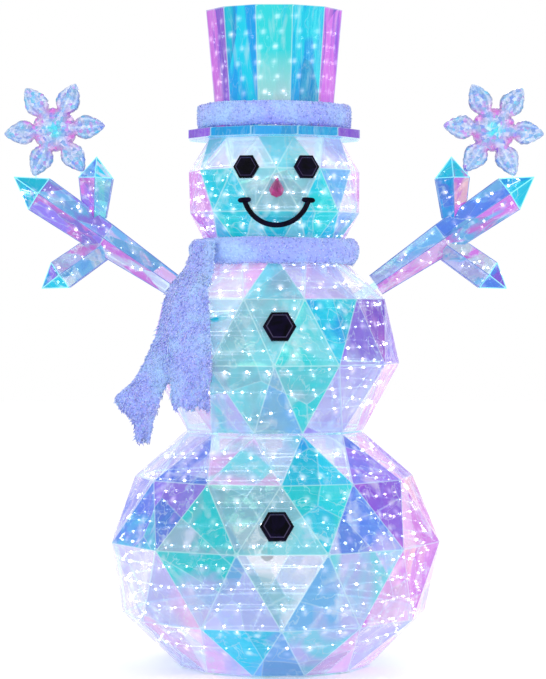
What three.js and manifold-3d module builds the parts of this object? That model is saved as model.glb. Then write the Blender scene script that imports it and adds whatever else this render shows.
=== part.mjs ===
// A lighted yard snowman: three faceted balls of clear iridescent film on welded wire cages, with a
// film top hat, crystal-shaped arms that plug into the shoulders, moulded snowflakes and a plush scarf.
// Millimetres, +Z up, the front faces -Y. The origin is on the ground, on the axis of the balls.
// "left" is the side at -X, which is on the left of someone who faces the snowman.
import * as THREE from "three";
import { ConvexGeometry } from "three/addons/geometries/ConvexGeometry.js";
import { mergeVertices } from "three/addons/utils/BufferGeometryUtils.js";
import Module from "manifold-3d";

const wasm = await Module();
wasm.setup();

// ---------------------------------------------------------------- driving dimensions
const HEIGHT = 1524; // top of the hat
const SIDES = 12; // every ring of the balls and the hat is a 12-gon
const STEP = 360 / SIDES;
const HALF_STEP = STEP / 2;
const BASE_TURN = 2.7; // the bottom ball stands a little turned about Z
const FACE_TURN = 1.5; // so does the head, with the face on it

const FILM = 1.0; // wall of a film skin, measured level
const DECK = 0.8; // wall of a skin's flat top and bottom
const RING_WIRE = 1.9; // half the thickness of a ring's wire
const STRUT_WIRE = 1.8; // radius of a strut's wire
const CORD_R = 1.5; // radius of a light string's cord
const BULB = { r: 3.6, long: 5 };
const GAP = 0.4; // between pieces that rest on each other
const INSET = 8; // from a skin to the middle of the wire behind it
const END_RISE = 6; // the same, from a skin's deck to the ring behind it

// Rings of each skin from the bottom up: height, radius to the corners, and whether a side faces front.
const FOOT = 3.5;
const BASE = [
  { z: FOOT, r: 226, side: true },
  { z: 122, r: 354, side: false },
  { z: 293, r: 391, side: true },
  { z: 440, r: 325, side: false },
  { z: 544, r: 211, side: true },
].map((ring) => ({ ...ring, turn: BASE_TURN }));
const TORSO = [
  { z: 548, r: 211, side: true, turn: BASE_TURN },
  { z: 703, r: 293, side: false, turn: 0 },
  { z: 853, r: 265, side: true, turn: 0 },
  { z: 955, r: 147, side: false, turn: 0 },
];
const HEAD = [
  { z: 959, r: 147, side: false },
  { z: 1052, r: 203, side: true },
  { z: 1150, r: 200, side: false },
  { z: 1224, r: 158, side: true },
].map((ring) => ({ ...ring, turn: FACE_TURN }));
const BRIM = { low: 1225, high: 1245, r: 206 };
const CROWN = [
  { z: BRIM.high + GAP, r: 138, side: true, turn: 0 },
  { z: HEIGHT, r: 164, side: true, turn: 0 },
];

// Plug joints between the sections: pins of the upper one stand in sockets of the lower one.
const SLIM_PIN = { pin: 4.5, bore: 5.2, wall: 7.5, deep: 42 };
const STOUT_PIN = { pin: 5.5, bore: 6.2, wall: 9, deep: 50 };
const NECKS = {
  waist: { ...STOUT_PIN, z: 544, top: 548, at: 45 + BASE_TURN, r: 198, stub: 11 },
  neck: { ...SLIM_PIN, z: 955, top: 959, at: 30, r: 136, stub: 9 },
  crown: { ...SLIM_PIN, z: 1224, top: 1226, at: 45, r: 146.5, stub: 4 },
};
const COUPLER = { hole: 21, body: 20, bore: 12, plug: 11, flange: 27, deep: 40, rise: 22, lip: 1.2 };
const FEET = { at: 190, wide: 30, long: 60 };
const TAIL_THICK = 7;

// An arm lies in the plane y = 0. Its axis starts inside the shoulder and rises outwards.
const ARM = {
  root: [224, 876],
  rise: 34.3,
  sleeve: [
    { t: 17, r: 30 },
    { t: 209, r: 43 },
    { t: 393, r: 50 },
  ],
  tip: 466,
};
const THUMB = {
  open: 75,
  root: [421, 1005],
  rise: 91.8,
  sleeve: [
    { t: 0, r: 24 },
    { t: 131, r: 45 },
  ],
  tip: 181,
  joinAt: 238,
};
const LOW_FINGER = {
  open: 75,
  root: [402, 978],
  rise: -35.3,
  sleeve: [
    { t: 0, r: 38 },
    { t: 120, r: 41 },
  ],
  tip: 174,
  joinAt: 198,
};
const SPIGOT = { r: 8, from: -84, to: 60 };
const SHOULDER = { r: 12, bore: 8.6, from: -90, to: 3 };

// A snowflake: its centre, its reach, the turn of its petals, and the sizes of its moulding.
const FLAKE = {
  x: 514,
  z: 1249,
  r: 118,
  turn: 5,
  depth: 30,
  wall: 1.8,
  lobe: 28,
  neck: 15,
  hub: 38,
  pinAt: 107,
  bevel: 8,
};
const ARM_LIGHTS = { from: 72, to: 380, steps: 20, r: 16, phase: 62 };
const HINGE = {
  pin: 2.6,
  eye: 5.6,
  bore: 3.2,
  eyeLong: 6,
  post: 2.6,
  outerFoot: 8,
  innerPost: 26,
  slot: 8,
  slotR: 17,
  cheek: 3,
  cheekR: 6,
  pinLong: 12,
};

const BUTTON = { r: 37.5, deep: 12 };
const BUTTON_SEATS = { lower: { z: 352, across: -11 }, upper: { z: 790, across: 12 } };
const EYE = { r: 30, deep: 9, z: 1152, out: 18, studDown: 14 };
const NOSE = { r: 17, long: 62, z: 1096, rise: 25 };
const MOUTH = { r: 74.5, z: 1094.6, tube: 6, end: 76, clear: -9, bar: 13 };
const STUD = { r: 2.5, hole: 3.2, head: 7, under: -4.5, back: -7 };
const INLET = { z: 215, flange: 17, body: 11, hole: 11.5, pit: 8, nut: 17, nutBore: 11.4 };
const CROWN_DISC = 70; // radius of the plug's disc that the hat rests on

// ---------------------------------------------------------------- materials
const material = (color, roughness, metalness = 0) =>
  new THREE.MeshStandardMaterial({ color, roughness, metalness });
const FILM_BLUE = material(0x8fd0ea, 0.18);
const FILM_VIOLET = material(0xb9a8e8, 0.2);
const WHITE_WIRE = material(0xe6ecf4, 0.4, 0.2);
const STEEL = material(0xb9bec6, 0.35, 0.9);
const CLEAR_CORD = material(0xdfe9f2, 0.3);
const BLACK_GEM = material(0x0c0a1c, 0.15);
const NOSE_RED = material(0xa83a72, 0.3);
const PLUSH = material(0xa6b6f0, 0.95);
const FLAKE_CLEAR = material(0xbbd2ee, 0.12);
const WHITE_PLASTIC = material(0xeef1f5, 0.45);
const RUBBER = material(0x2a2c33, 0.8);

// ---------------------------------------------------------------- helpers
const rad = (degrees) => (degrees * Math.PI) / 180;

// A point at a compass angle from the front (-Y), turning towards +X.
const around = (r, angle, z) =>
  new THREE.Vector3(r * Math.sin(rad(angle)), -r * Math.cos(rad(angle)), z);

function solid(geometry) {
  const bare = geometry.clone();
  bare.deleteAttribute("normal");
  if (bare.hasAttribute("uv")) bare.deleteAttribute("uv");
  const merged = mergeVertices(bare, 1e-3);
  return new wasm.Manifold(
    new wasm.Mesh({
      numProp: 3,
      vertProperties: merged.attributes.position.array,
      triVerts: new Uint32Array(merged.index.array),
    }),
  );
}

function geometryOf(manifold) {
  const { vertProperties, triVerts, numProp } = manifold.getMesh();
  const positions = new Float32Array((vertProperties.length / numProp) * 3);
  for (let i = 0; i < positions.length / 3; i++)
    positions.set(vertProperties.subarray(i * numProp, i * numProp + 3), i * 3);
  const geometry = new THREE.BufferGeometry();
  geometry.setAttribute("position", new THREE.BufferAttribute(positions, 3));
  geometry.setIndex(new THREE.BufferAttribute(new Uint32Array(triVerts), 1));
  geometry.computeVertexNormals();
  return geometry;
}

const onAxis = (z) => new THREE.Vector3(0, 0, z);
const join = (parts) => wasm.Manifold.union(parts);
const cut = (body, tools) => tools.reduce((left, tool) => left.subtract(tool), body);

const snowman = new THREE.Group();
function add(name, shape, look) {
  const geometry = shape.isBufferGeometry ? shape : geometryOf(shape);
  const mesh = new THREE.Mesh(geometry, look);
  mesh.name = name;
  snowman.add(mesh);
  return mesh;
}

// A closed profile of [radius, height] pairs turned about Z. It runs counter-clockwise.
function turned(profile, segments = 24, startAngle = 0) {
  const points = [...profile, profile[0]].map(([r, z]) => new THREE.Vector2(r, z));
  return new THREE.LatheGeometry(points, segments, rad(startAngle), Math.PI * 2).rotateX(Math.PI / 2);
}

const upAxis = new THREE.Vector3(0, 1, 0);

// A straight bar or cone between two points.
function bar(a, b, r, sides = 4, rEnd = r) {
  const along = b.clone().sub(a);
  const geometry = new THREE.CylinderGeometry(rEnd, r, along.length(), sides);
  const turn = new THREE.Quaternion().setFromUnitVectors(upAxis, along.clone().normalize());
  const middle = a.clone().add(b).multiplyScalar(0.5);
  return solid(geometry.applyQuaternion(turn).translate(middle.x, middle.y, middle.z));
}

const tube = (a, b, r, bore, sides = 16) => {
  const past = b.clone().sub(a).normalize();
  return bar(a, b, r, sides).subtract(bar(a.clone().sub(past), b.clone().add(past), bore, sides));
};

// A cord or rod through a list of points.
function cord(points, r, steps, sides = 6) {
  const section = new THREE.Shape();
  for (let i = 0; i < sides; i++) {
    const angle = (i / sides) * Math.PI * 2;
    const [x, y] = [r * Math.cos(angle), r * Math.sin(angle)];
    if (i === 0) section.moveTo(x, y);
    else section.lineTo(x, y);
  }
  const path = new THREE.CatmullRomCurve3(points, false, "centripetal");
  return new THREE.ExtrudeGeometry(section, {
    steps,
    bevelEnabled: false,
    extrudePath: path,
    curveSegments: 1,
  });
}

// ---------------------------------------------------------------- balls: rings, skins and cages
const cornerAngle = (ring, i) => ring.turn + (ring.side ? HALF_STEP : 0) + i * STEP;

function ringPoints(ring, shrink = 0, rise = 0) {
  return Array.from({ length: SIDES }, (_, i) =>
    around(ring.r - shrink, cornerAngle(ring, i), ring.z + rise),
  );
}

// The radius of a skin at a height, to its corners.
function radiusAt(rings, z) {
  const above = Math.max(1, rings.findIndex((ring) => ring.z >= z));
  const [low, high] = [rings[above - 1], rings[above]];
  return low.r + ((high.r - low.r) * (z - low.z)) / (high.z - low.z);
}

const hull = (points) => solid(new ConvexGeometry(points));

// A skin with a wall all round, and round holes in its decks so that it isn't sealed.
function skin(rings, holes) {
  const last = rings.length - 1;
  const outer = hull(rings.flatMap((ring) => ringPoints(ring)));
  const inner = hull(
    rings.flatMap((ring, i) => {
      const rise = i === 0 ? DECK : i === last ? -DECK : 0;
      const slope = i === 0 ? rings[1].r - ring.r : rings[last - 1].r - ring.r;
      const next = rings[i === 0 ? 1 : last - 1];
      const lean = rise === 0 ? 0 : (DECK * slope) / Math.abs(next.z - ring.z);
      return ringPoints(ring, FILM - lean, rise);
    }),
  );
  return cut(outer.subtract(inner), holes);
}

// A square wire bent into a ring, corner by corner.
function wireRing(ring, shrink, rise, half = RING_WIRE) {
  const [r, z] = [ring.r - shrink, ring.z + rise];
  const profile = [
    [r - half, z - half],
    [r + half, z - half],
    [r + half, z + half],
    [r - half, z + half],
  ];
  return solid(turned(profile, SIDES, cornerAngle(ring, 0)));
}

// The cage behind a skin: a ring at each level, and a strut from every second corner to the next level.
function cage(rings) {
  const last = rings.length - 1;
  const place = rings.map((ring, i) => ({
    shrink: i === 0 || i === last ? INSET / 2 : INSET,
    rise: i === 0 ? END_RISE : i === last ? -END_RISE : 0,
    ring,
  }));
  const parts = place.map(({ ring, shrink, rise }) => wireRing(ring, shrink, rise));
  place.slice(1).forEach((upper, k) => {
    const low = ringPoints(place[k].ring, place[k].shrink, place[k].rise);
    const high = ringPoints(upper.ring, upper.shrink, upper.rise);
    low.forEach((point, i) => {
      if (i % 2 === k % 2) parts.push(bar(point, high[i], STRUT_WIRE, 3));
    });
  });
  return parts;
}

// ---------------------------------------------------------------- plug joints between sections
const neckSpots = (joint) => [0, 90, 180, 270].map((more) => around(joint.r, joint.at + more, 0));
const atHeight = (spot, z) => new THREE.Vector3(spot.x, spot.y, z);

const sockets = (joint) =>
  neckSpots(joint).map((spot) =>
    tube(atHeight(spot, joint.z - joint.deep), atHeight(spot, joint.z - 2), joint.wall, joint.bore, 8),
  );

// Pins with a short stub that ties each one to the ring of its own cage.
const pins = (joint, top) =>
  neckSpots(joint).flatMap((spot) => [
    bar(atHeight(spot, joint.z - joint.deep + 6), atHeight(spot, top + 4), joint.pin, 8),
    bar(atHeight(spot, top), atHeight(spot.clone().multiplyScalar(1 + joint.stub / joint.r), top), 3, 4),
  ]);
const pinHoles = (joint) =>
  neckSpots(joint).map((spot) => {
    return bar(atHeight(spot, joint.z - 4), atHeight(spot, joint.top + 4), joint.bore + 1, 8);
  });
const coreHole = (z) => bar(onAxis(z - 4), onAxis(z + 4), COUPLER.hole, 16);

// The lower half of a power coupler hangs in a deck and takes the plug of the section above.
function couplerSocket(z) {
  return turned(
    [
      [COUPLER.bore, z - COUPLER.deep],
      [COUPLER.body, z - COUPLER.deep],
      [COUPLER.body, z + GAP],
      [COUPLER.flange, z + GAP],
      [COUPLER.flange, z + GAP + COUPLER.lip],
      [COUPLER.bore, z + GAP + COUPLER.lip],
    ],
    16,
  );
}
function couplerPlug(low, z) {
  const seat = z + DECK + GAP;
  return join([
    bar(onAxis(low - COUPLER.deep + 8), onAxis(z + COUPLER.rise), COUPLER.plug, 16),
    bar(onAxis(seat), onAxis(seat + 2), COUPLER.flange, 16),
  ]);
}

// A thin three-sided cord through a list of points, swollen into a bulb at some of them.
function beadedCord(points, isBulb) {
  const rings = points.flatMap((at, i) => {
    const next = points[Math.min(i + 1, points.length - 1)];
    const along = next.clone().sub(points[Math.max(i - 1, 0)]).normalize();
    const beads = isBulb(i)
      ? [
          [-BULB.long, CORD_R],
          [0, BULB.r],
          [BULB.long, CORD_R],
        ]
      : [[0, CORD_R]];
    const side = along.clone().cross(new THREE.Vector3(0, 0, 1)).normalize();
    const up = side.clone().cross(along);
    return beads.map(([shift, r]) =>
      [0, 120, 240].map((angle) =>
        at
          .clone()
          .addScaledVector(along, shift)
          .addScaledVector(side, r * Math.cos(rad(angle)))
          .addScaledVector(up, r * Math.sin(rad(angle))),
      ),
    );
  });
  const last = (rings.length - 1) * 3;
  const faces = [
    [0, 1, 2],
    [last, last + 2, last + 1],
  ];
  rings.slice(1).forEach((_, k) =>
    [0, 1, 2].forEach((i) => {
      const [a, b] = [k * 3 + i, k * 3 + ((i + 1) % 3)];
      faces.push([a, b + 3, b], [a, a + 3, b + 3]);
    }),
  );
  const geometry = new THREE.BufferGeometry().setFromPoints(rings.flat());
  geometry.setIndex(faces.flat());
  geometry.computeVertexNormals();
  return geometry;
}

// A string of lights wound up the inside of a cage, with a bulb at every third bend.
function lightString(rings, wind) {
  const steps = Math.round(((wind.to - wind.from) / wind.pitch) * SIDES);
  const bends = Array.from({ length: steps + 1 }, (_, i) => {
    const z = wind.from + (i * wind.pitch) / SIDES;
    const clear = radiusAt(rings, z) * Math.cos(rad(HALF_STEP)) - INSET - 7;
    return around(clear, wind.angle + i * STEP, z);
  });
  const lastAngle = wind.angle + steps * STEP;
  const before = (wind.before ?? []).map(([r, angle, z]) => around(r, wind.angle + angle, z));
  const after = (wind.after ?? []).map(([r, angle, z]) => around(r, lastAngle + angle, z));
  const isBulb = (i) => i >= before.length && i < before.length + bends.length && i % 3 === 1;
  return beadedCord([...before, ...bends, ...after], isBulb);
}

// ---------------------------------------------------------------- gems on the front facets
// A point out from a facet that runs from the middle of one ring's side to the corner of another ring.
function facetSeat(sideRing, cornerRing, z, angle) {
  const low = { r: sideRing.r * Math.cos(rad(HALF_STEP)), z: sideRing.z };
  const slope = (cornerRing.r - low.r) / (cornerRing.z - low.z);
  const tilt = Math.atan(-slope);
  const centre = around(low.r + (z - low.z) * slope, angle, z);
  const out = around(Math.cos(tilt), angle, Math.sin(tilt));
  return (distance) => centre.clone().add(out.clone().multiplyScalar(distance));
}

// The directions of a seat: across the facet, up it and out of it.
function facetFrame(seat) {
  const out = seat(1).sub(seat(0)).normalize();
  const across = new THREE.Vector3(0, 0, 1).cross(out).normalize();
  return { out, across, up: out.clone().cross(across) };
}
const slid = (seat, move) => (distance) => {
  const { across, up } = facetFrame(seat);
  return seat(distance)
    .addScaledVector(across, move.across ?? 0)
    .addScaledVector(up, move.up ?? 0);
};

// A stud goes through the film and ends in a flat head behind it.
const stud = (seat) =>
  join([
    bar(seat(STUD.back), seat(GAP + 1), STUD.r, 8),
    bar(seat(STUD.back), seat(STUD.under), STUD.head, 8),
  ]);
const studHole = (seat) => bar(seat(-3), seat(3), STUD.hole, 8);

// A hexagon with a corner at each side and a bevelled front.
function gem(seat, size, studSeat = seat) {
  const { out, across, up } = facetFrame(seat);
  const layers = [
    [0, 1],
    [0.6, 1],
    [1, 0.8],
  ];
  const points = layers.flatMap(([share, shrink]) =>
    Array.from({ length: 6 }, (_, i) =>
      seat(GAP)
        .addScaledVector(across, size.r * shrink * Math.cos(rad(60 * i)))
        .addScaledVector(up, size.r * shrink * Math.sin(rad(60 * i)))
        .addScaledVector(out, size.deep * share),
    ),
  );
  return join([hull(points), stud(studSeat)]);
}
const { lower, upper } = BUTTON_SEATS;
const lowerSeat = slid(facetSeat(BASE[2], BASE[3], lower.z, BASE_TURN), lower);
const upperSeat = slid(facetSeat(TORSO[2], TORSO[1], upper.z, 0), upper);

// ---------------------------------------------------------------- base ball
const waist = NECKS.waist;
const floorHole = bar(onAxis(0), onAxis(8), 30, 16);

// The plug inlet sits square on the flat facet at the middle of the back.
const inletSeat = facetSeat(BASE[2], BASE[1], INLET.z, 180 + BASE_TURN);
const inletHole = bar(inletSeat(-6), inletSeat(6), INLET.hole, 12);

add("base_frame", join([...cage(BASE), ...sockets(waist)]), WHITE_WIRE);
add(
  "base_film",
  skin(BASE, [floorHole, coreHole(waist.z), ...pinHoles(waist), inletHole, studHole(lowerSeat)]),
  FILM_BLUE,
);
add(
  "base_light_string",
  lightString(BASE, {
    from: 60,
    to: 505,
    pitch: 65,
    angle: 135,
    after: [
      [150, 20, 512],
      [80, 35, 518],
      [COUPLER.body + CORD_R + GAP + 0.6, 45, 516],
    ],
  }),
  CLEAR_CORD,
);
add("base_coupler", couplerSocket(waist.z), WHITE_PLASTIC);

const inletBody = join([
  bar(inletSeat(GAP), inletSeat(GAP + 3), INLET.flange, 12),
  bar(inletSeat(-26), inletSeat(GAP + 1), INLET.body, 12),
]).subtract(bar(inletSeat(0), inletSeat(6), INLET.pit, 12));
const inletPin = (side) => {
  const off = around(3, 180 + BASE_TURN + 90 * side, 0);
  return bar(inletSeat(-2).add(off), inletSeat(3).add(off), 1.2, 6);
};
add("power_inlet", join([inletBody, inletPin(1), inletPin(-1)]), RUBBER);
const nut = bar(inletSeat(-9), inletSeat(-3.5), INLET.nut, 6);
add("power_inlet_nut", nut.subtract(bar(inletSeat(-10), inletSeat(-3), INLET.nutBore, 12)), WHITE_PLASTIC);

// Flat feet under the bottom deck, at four corners of its ring.
["front_right", "back_right", "back_left", "front_left"].forEach((where, i) => {
  const angle = 45 + BASE_TURN + i * 90;
  const block = new THREE.BoxGeometry(FEET.wide, FEET.long, FOOT - GAP);
  block.rotateZ(rad(angle)).translate(...around(FEET.at, angle, (FOOT - GAP) / 2).toArray());
  add("foot_" + where, block, WHITE_PLASTIC);
});
add("lower_button", gem(lowerSeat, BUTTON), BLACK_GEM);

// ---------------------------------------------------------------- torso ball
const neck = NECKS.neck;
const armLine = (side, t, spec = ARM) =>
  new THREE.Vector3(
    side * (spec.root[0] + t * Math.cos(rad(spec.rise))),
    0,
    spec.root[1] + t * Math.sin(rad(spec.rise)),
  );

// A shoulder socket is welded to the two nearest corners of the cage.
function shoulder(side) {
  const a = armLine(side, SHOULDER.from);
  const b = armLine(side, SHOULDER.to);
  const grip = armLine(side, SHOULDER.to - 12);
  const corners = ringPoints(TORSO[2], INSET, 0).filter((point) => point.x * side > 240);
  const stays = corners.map((point) => bar(point, grip, STRUT_WIRE, 3));
  return join([bar(a, b, SHOULDER.r, 12), ...stays]).subtract(
    bar(armLine(side, SHOULDER.from + 4), armLine(side, SHOULDER.to + 20), SHOULDER.bore, 12),
  );
}
const shoulderHole = (side) => bar(armLine(side, -20), armLine(side, 40), SHOULDER.r + 2, 12);

add(
  "torso_frame",
  join([
    ...cage(TORSO),
    ...pins(waist, TORSO[0].z + END_RISE),
    ...sockets(neck),
    shoulder(-1),
    shoulder(1),
  ]),
  WHITE_WIRE,
);
add(
  "torso_film",
  skin(TORSO, [
    coreHole(TORSO[0].z),
    coreHole(neck.z),
    ...pinHoles(waist),
    ...pinHoles(neck),
    shoulderHole(-1),
    shoulderHole(1),
    studHole(upperSeat),
  ]),
  FILM_BLUE,
);
add(
  "torso_light_string",
  lightString(TORSO, {
    from: 600,
    to: 930,
    pitch: 60,
    angle: 5,
    before: [
      [COUPLER.plug + CORD_R + 0.6, -60, 562],
      [70, -50, 572],
      [150, -30, 582],
    ],
    after: [
      [90, 25, 934],
      [COUPLER.body + CORD_R + GAP + 0.6, 45, 934],
    ],
  }),
  CLEAR_CORD,
);
add("torso_plug", couplerPlug(waist.z, TORSO[0].z), WHITE_PLASTIC);
add("torso_coupler", couplerSocket(neck.z), WHITE_PLASTIC);
add("upper_button", gem(upperSeat, BUTTON), BLACK_GEM);

// ---------------------------------------------------------------- scarf
add(
  "scarf_wrap",
  turned(
    [
      [178, 931],
      [190, 933],
      [197, 950],
      [198, 972],
      [191, 989],
      [172, 995],
      [153, 962],
    ],
    24,
  ),
  PLUSH,
);

// A hanging tail: flat sections from the wrap down, each with a centre, a width and a turn about Z.
function tail(stations) {
  const section = ([x, y, z, wide, yaw]) => {
    const [across, out] = [around(wide / 2, 90 - yaw, 0), around(TAIL_THICK / 2, -yaw, 0)];
    const centre = new THREE.Vector3(x, y, z);
    return [-1, 1].flatMap((i) =>
      [-1, 1].map((j) => centre.clone().addScaledVector(across, i).addScaledVector(out, j)),
    );
  };
  return join(stations.slice(1).map((station, i) => hull([...section(stations[i]), ...section(station)])));
}
add(
  "scarf_tail_front",
  tail([
    [-160, -136, 988, 80, 50],
    [-164, -139, 950, 84, 49],
    [-170, -154, 915, 86, 45],
    [-187, -190, 872, 94, 40],
    [-193, -224, 795, 108, 30],
    [-190, -243, 712, 112, 28],
    [-189, -244, 658, 104, 28],
    [-188, -243, 610, 100, 28],
  ]),
  PLUSH,
);
add(
  "scarf_tail_rear",
  tail([
    [-186, -86, 955, 40, 66],
    [-196, -92, 925, 46, 66],
    [-230, -124, 870, 66, 64],
    [-238, -146, 795, 84, 56],
    [-258, -168, 715, 92, 38],
    [-281, -172, 665, 96, 26],
    [-308, -174, 632, 112, 20],
    [-310, -174, 608, 102, 20],
    [-298, -175, 578, 60, 20],
    [-296, -176, 530, 34, 20],
  ]),
  PLUSH,
);

// ---------------------------------------------------------------- head ball
const crown = NECKS.crown;
// An eye lies on the facet under a side of the widest ring, a little outwards of its middle.
const eyeSeat = (side) => {
  const seat = facetSeat(HEAD[2], HEAD[1], EYE.z, FACE_TURN + side * HALF_STEP);
  return slid(seat, { across: side * EYE.out });
};
const eyeStud = (side) => slid(eyeSeat(side), { up: -EYE.studDown });
const noseSeat = facetSeat(HEAD[1], HEAD[2], NOSE.z, FACE_TURN);

// The nose is a many-sided cone whose foot lies flat on the front facet and whose tip points up a little.
function noseGem() {
  const { across, up } = facetFrame(noseSeat);
  const rise = around(Math.cos(rad(NOSE.rise)), FACE_TURN, Math.sin(rad(NOSE.rise)));
  const ring = (distance, size) =>
    Array.from({ length: 8 }, (_, i) =>
      noseSeat(GAP)
        .addScaledVector(rise, distance)
        .addScaledVector(across, NOSE.r * size * Math.cos(rad(45 * i)))
        .addScaledVector(up, NOSE.r * size * Math.sin(rad(45 * i))),
    );
  return join([hull([...ring(0, 0.82), ...ring(8, 1), ...ring(NOSE.long, 0.12)]), stud(noseSeat)]);
}

// The mouth follows the face, a short bar crosses each end, and three legs go through the film.
const faced = (x, y, z) => new THREE.Vector3(x, y, z).applyAxisAngle(onAxis(1), rad(FACE_TURN));
const mouthPath = Array.from({ length: 17 }, (_, i) => {
  const angle = rad(MOUTH.end * (i / 8 - 1));
  const [x, z] = [MOUTH.r * Math.sin(angle), MOUTH.z - MOUTH.r * Math.cos(angle)];
  return faced(x, MOUTH.clear - Math.sqrt(radiusAt(HEAD, z) ** 2 - x ** 2), z);
});
const mouthLegs = [1, 8, 15].map((i) => mouthPath[i]);
const inward = (at, share) => new THREE.Vector3(at.x * share, at.y * share, at.z);
function mouthBow() {
  const ends = [mouthPath[0], mouthPath[16]].map((end) => {
    const lean = faced(Math.sign(end.x) * MOUTH.bar, 0, -1);
    return bar(end.clone().add(lean), end.clone().sub(lean), MOUTH.tube, 6);
  });
  const legs = mouthLegs.map((at) => bar(at, inward(at, 0.88), 2, 6));
  return join([solid(cord(mouthPath, MOUTH.tube, 20, 6)), ...ends, ...legs]);
}
const mouthHoles = mouthLegs.map((at) => bar(at, inward(at, 0.8), 2.8, 6));

add(
  "head_frame",
  join([...cage(HEAD), ...pins(neck, HEAD[0].z + END_RISE), ...sockets(crown)]),
  WHITE_WIRE,
);
add(
  "head_film",
  skin(HEAD, [
    coreHole(HEAD[0].z),
    coreHole(crown.z),
    ...pinHoles(neck),
    ...pinHoles(crown),
    studHole(noseSeat),
    studHole(eyeStud(-1)),
    studHole(eyeStud(1)),
    ...mouthHoles,
  ]),
  FILM_BLUE,
);
add(
  "head_light_string",
  lightString(HEAD, {
    from: 992,
    to: 1176,
    pitch: 48,
    angle: 0,
    before: [
      [COUPLER.plug + CORD_R + 0.6, -60, 974],
      [90, -40, 984],
    ],
    after: [
      [80, 40, 1206],
      [COUPLER.body + CORD_R + GAP + 0.6, 60, 1206],
    ],
  }),
  CLEAR_CORD,
);
add("head_plug", couplerPlug(neck.z, HEAD[0].z), WHITE_PLASTIC);
add("head_coupler", couplerSocket(crown.z), WHITE_PLASTIC);
add("left_eye", gem(eyeSeat(-1), EYE, eyeStud(-1)), BLACK_GEM);
add("right_eye", gem(eyeSeat(1), EYE, eyeStud(1)), BLACK_GEM);
add("nose", noseGem(), NOSE_RED);
add("mouth", mouthBow(), BLACK_GEM);

// ---------------------------------------------------------------- hat
const HAT_RING = { z: (BRIM.low + BRIM.high) / 2, side: true, turn: 0 };
const hatRings = (r, heights) => heights.map((z) => ({ ...HAT_RING, z, r }));
const prism = (r, ...heights) => hull(hatRings(r, heights).flatMap((ring) => ringPoints(ring)));
const openCrown = prism(CROWN[0].r - 3, BRIM.high - 4, CROWN[0].z + 4);

add(
  "hat_frame",
  join([
    wireRing({ ...HAT_RING, r: BRIM.r }, INSET, 0),
    wireRing({ ...HAT_RING, r: CROWN[0].r }, INSET, 0),
    wireRing(CROWN[1], INSET, -END_RISE),
    ...ringPoints({ ...HAT_RING, r: CROWN[0].r }, INSET).flatMap((point, i) => [
      bar(point, ringPoints({ ...HAT_RING, r: BRIM.r }, INSET)[i], STRUT_WIRE),
      bar(point, ringPoints(CROWN[1], INSET, -END_RISE)[i], STRUT_WIRE),
    ]),
    ...pins(crown, HAT_RING.z),
  ]),
  WHITE_WIRE,
);
const brimHole = prism(60, BRIM.low - 2, BRIM.low + 2);
add(
  "hat_brim_film",
  skin(hatRings(BRIM.r, [BRIM.low, BRIM.high]), [brimHole, ...pinHoles(crown), openCrown]),
  FILM_VIOLET,
);
add("hat_crown_film", skin(CROWN, [openCrown]), FILM_VIOLET);
add(
  "hat_band",
  turned(
    [
      [152, BRIM.high + 3],
      [174, BRIM.high + 3],
      [178, BRIM.high + 32],
      [173, BRIM.high + 60],
      [154, BRIM.high + 60],
    ],
    24,
  ),
  PLUSH,
);
add(
  "hat_light_string",
  lightString(
    [
      { z: BRIM.low, r: CROWN[0].r },
      { z: HEIGHT, r: CROWN[1].r },
    ],
    {
      from: 1262,
      to: 1500,
      pitch: 52,
      angle: 20,
      before: [
        [COUPLER.plug + CORD_R + 0.6, -90, 1240],
        [90, -50, 1248],
      ],
    },
  ),
  CLEAR_CORD,
);
const discSeat = BRIM.low + DECK + GAP;
add(
  "hat_plug",
  join([
    bar(onAxis(crown.z - COUPLER.deep + 8), onAxis(crown.z + COUPLER.rise), COUPLER.plug, 16),
    bar(onAxis(discSeat), onAxis(discSeat + 2), CROWN_DISC, 16),
  ]),
  WHITE_PLASTIC,
);

// ---------------------------------------------------------------- arms
// The corners of an arm's hexagon at a distance along its axis; one corner faces the front.
function sleeveRing(side, spec, t, r) {
  const axis = armLine(side, 1, spec).sub(armLine(side, 0, spec));
  const front = new THREE.Vector3(0, -1, 0);
  const up = axis.clone().cross(front).normalize();
  return Array.from({ length: 6 }, (_, i) =>
    armLine(side, t, spec)
      .addScaledVector(front, r * Math.cos(rad(60 * i)))
      .addScaledVector(up, r * Math.sin(rad(60 * i))),
  );
}
function crystal(side, spec, grow = 0, endGrow = grow) {
  const stations = spec.sleeve.map(({ t, r }, i) =>
    sleeveRing(side, spec, i === 0 ? t - endGrow : t, r + grow),
  );
  return hull([...stations.flat(), armLine(side, spec.tip + grow * 1.6, spec)]);
}
const crystalSkin = (side, spec) => crystal(side, spec).subtract(crystal(side, spec, -FILM, -FILM));
// A square wire bent into a hexagon round an arm's axis, with a corner at the front.
function hexWire(side, spec, t, r) {
  const axis = armLine(side, 1, spec).sub(armLine(side, 0, spec));
  const half = RING_WIRE;
  const profile = [
    [r - half, -half],
    [r + half, -half],
    [r + half, half],
    [r - half, half],
    [r - half, -half],
  ].map(([x, y]) => new THREE.Vector2(x, y));
  const ring = new THREE.LatheGeometry(profile, 6, Math.atan2(axis.x, axis.z), Math.PI * 2);
  const turn = new THREE.Quaternion().setFromUnitVectors(upAxis, axis);
  const { x, y, z } = armLine(side, t, spec);
  return solid(ring.applyQuaternion(turn).translate(x, y, z));
}

// The wires of a crystal: a hexagon at its widest ring, with a spoke across it.
function crystalRing(side, spec) {
  const { t, r } = spec.sleeve[spec.sleeve.length - 1];
  const corners = sleeveRing(side, spec, t, r - INSET);
  return [hexWire(side, spec, t, r - INSET), bar(corners[0], corners[3], STRUT_WIRE, 3)];
}

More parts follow.
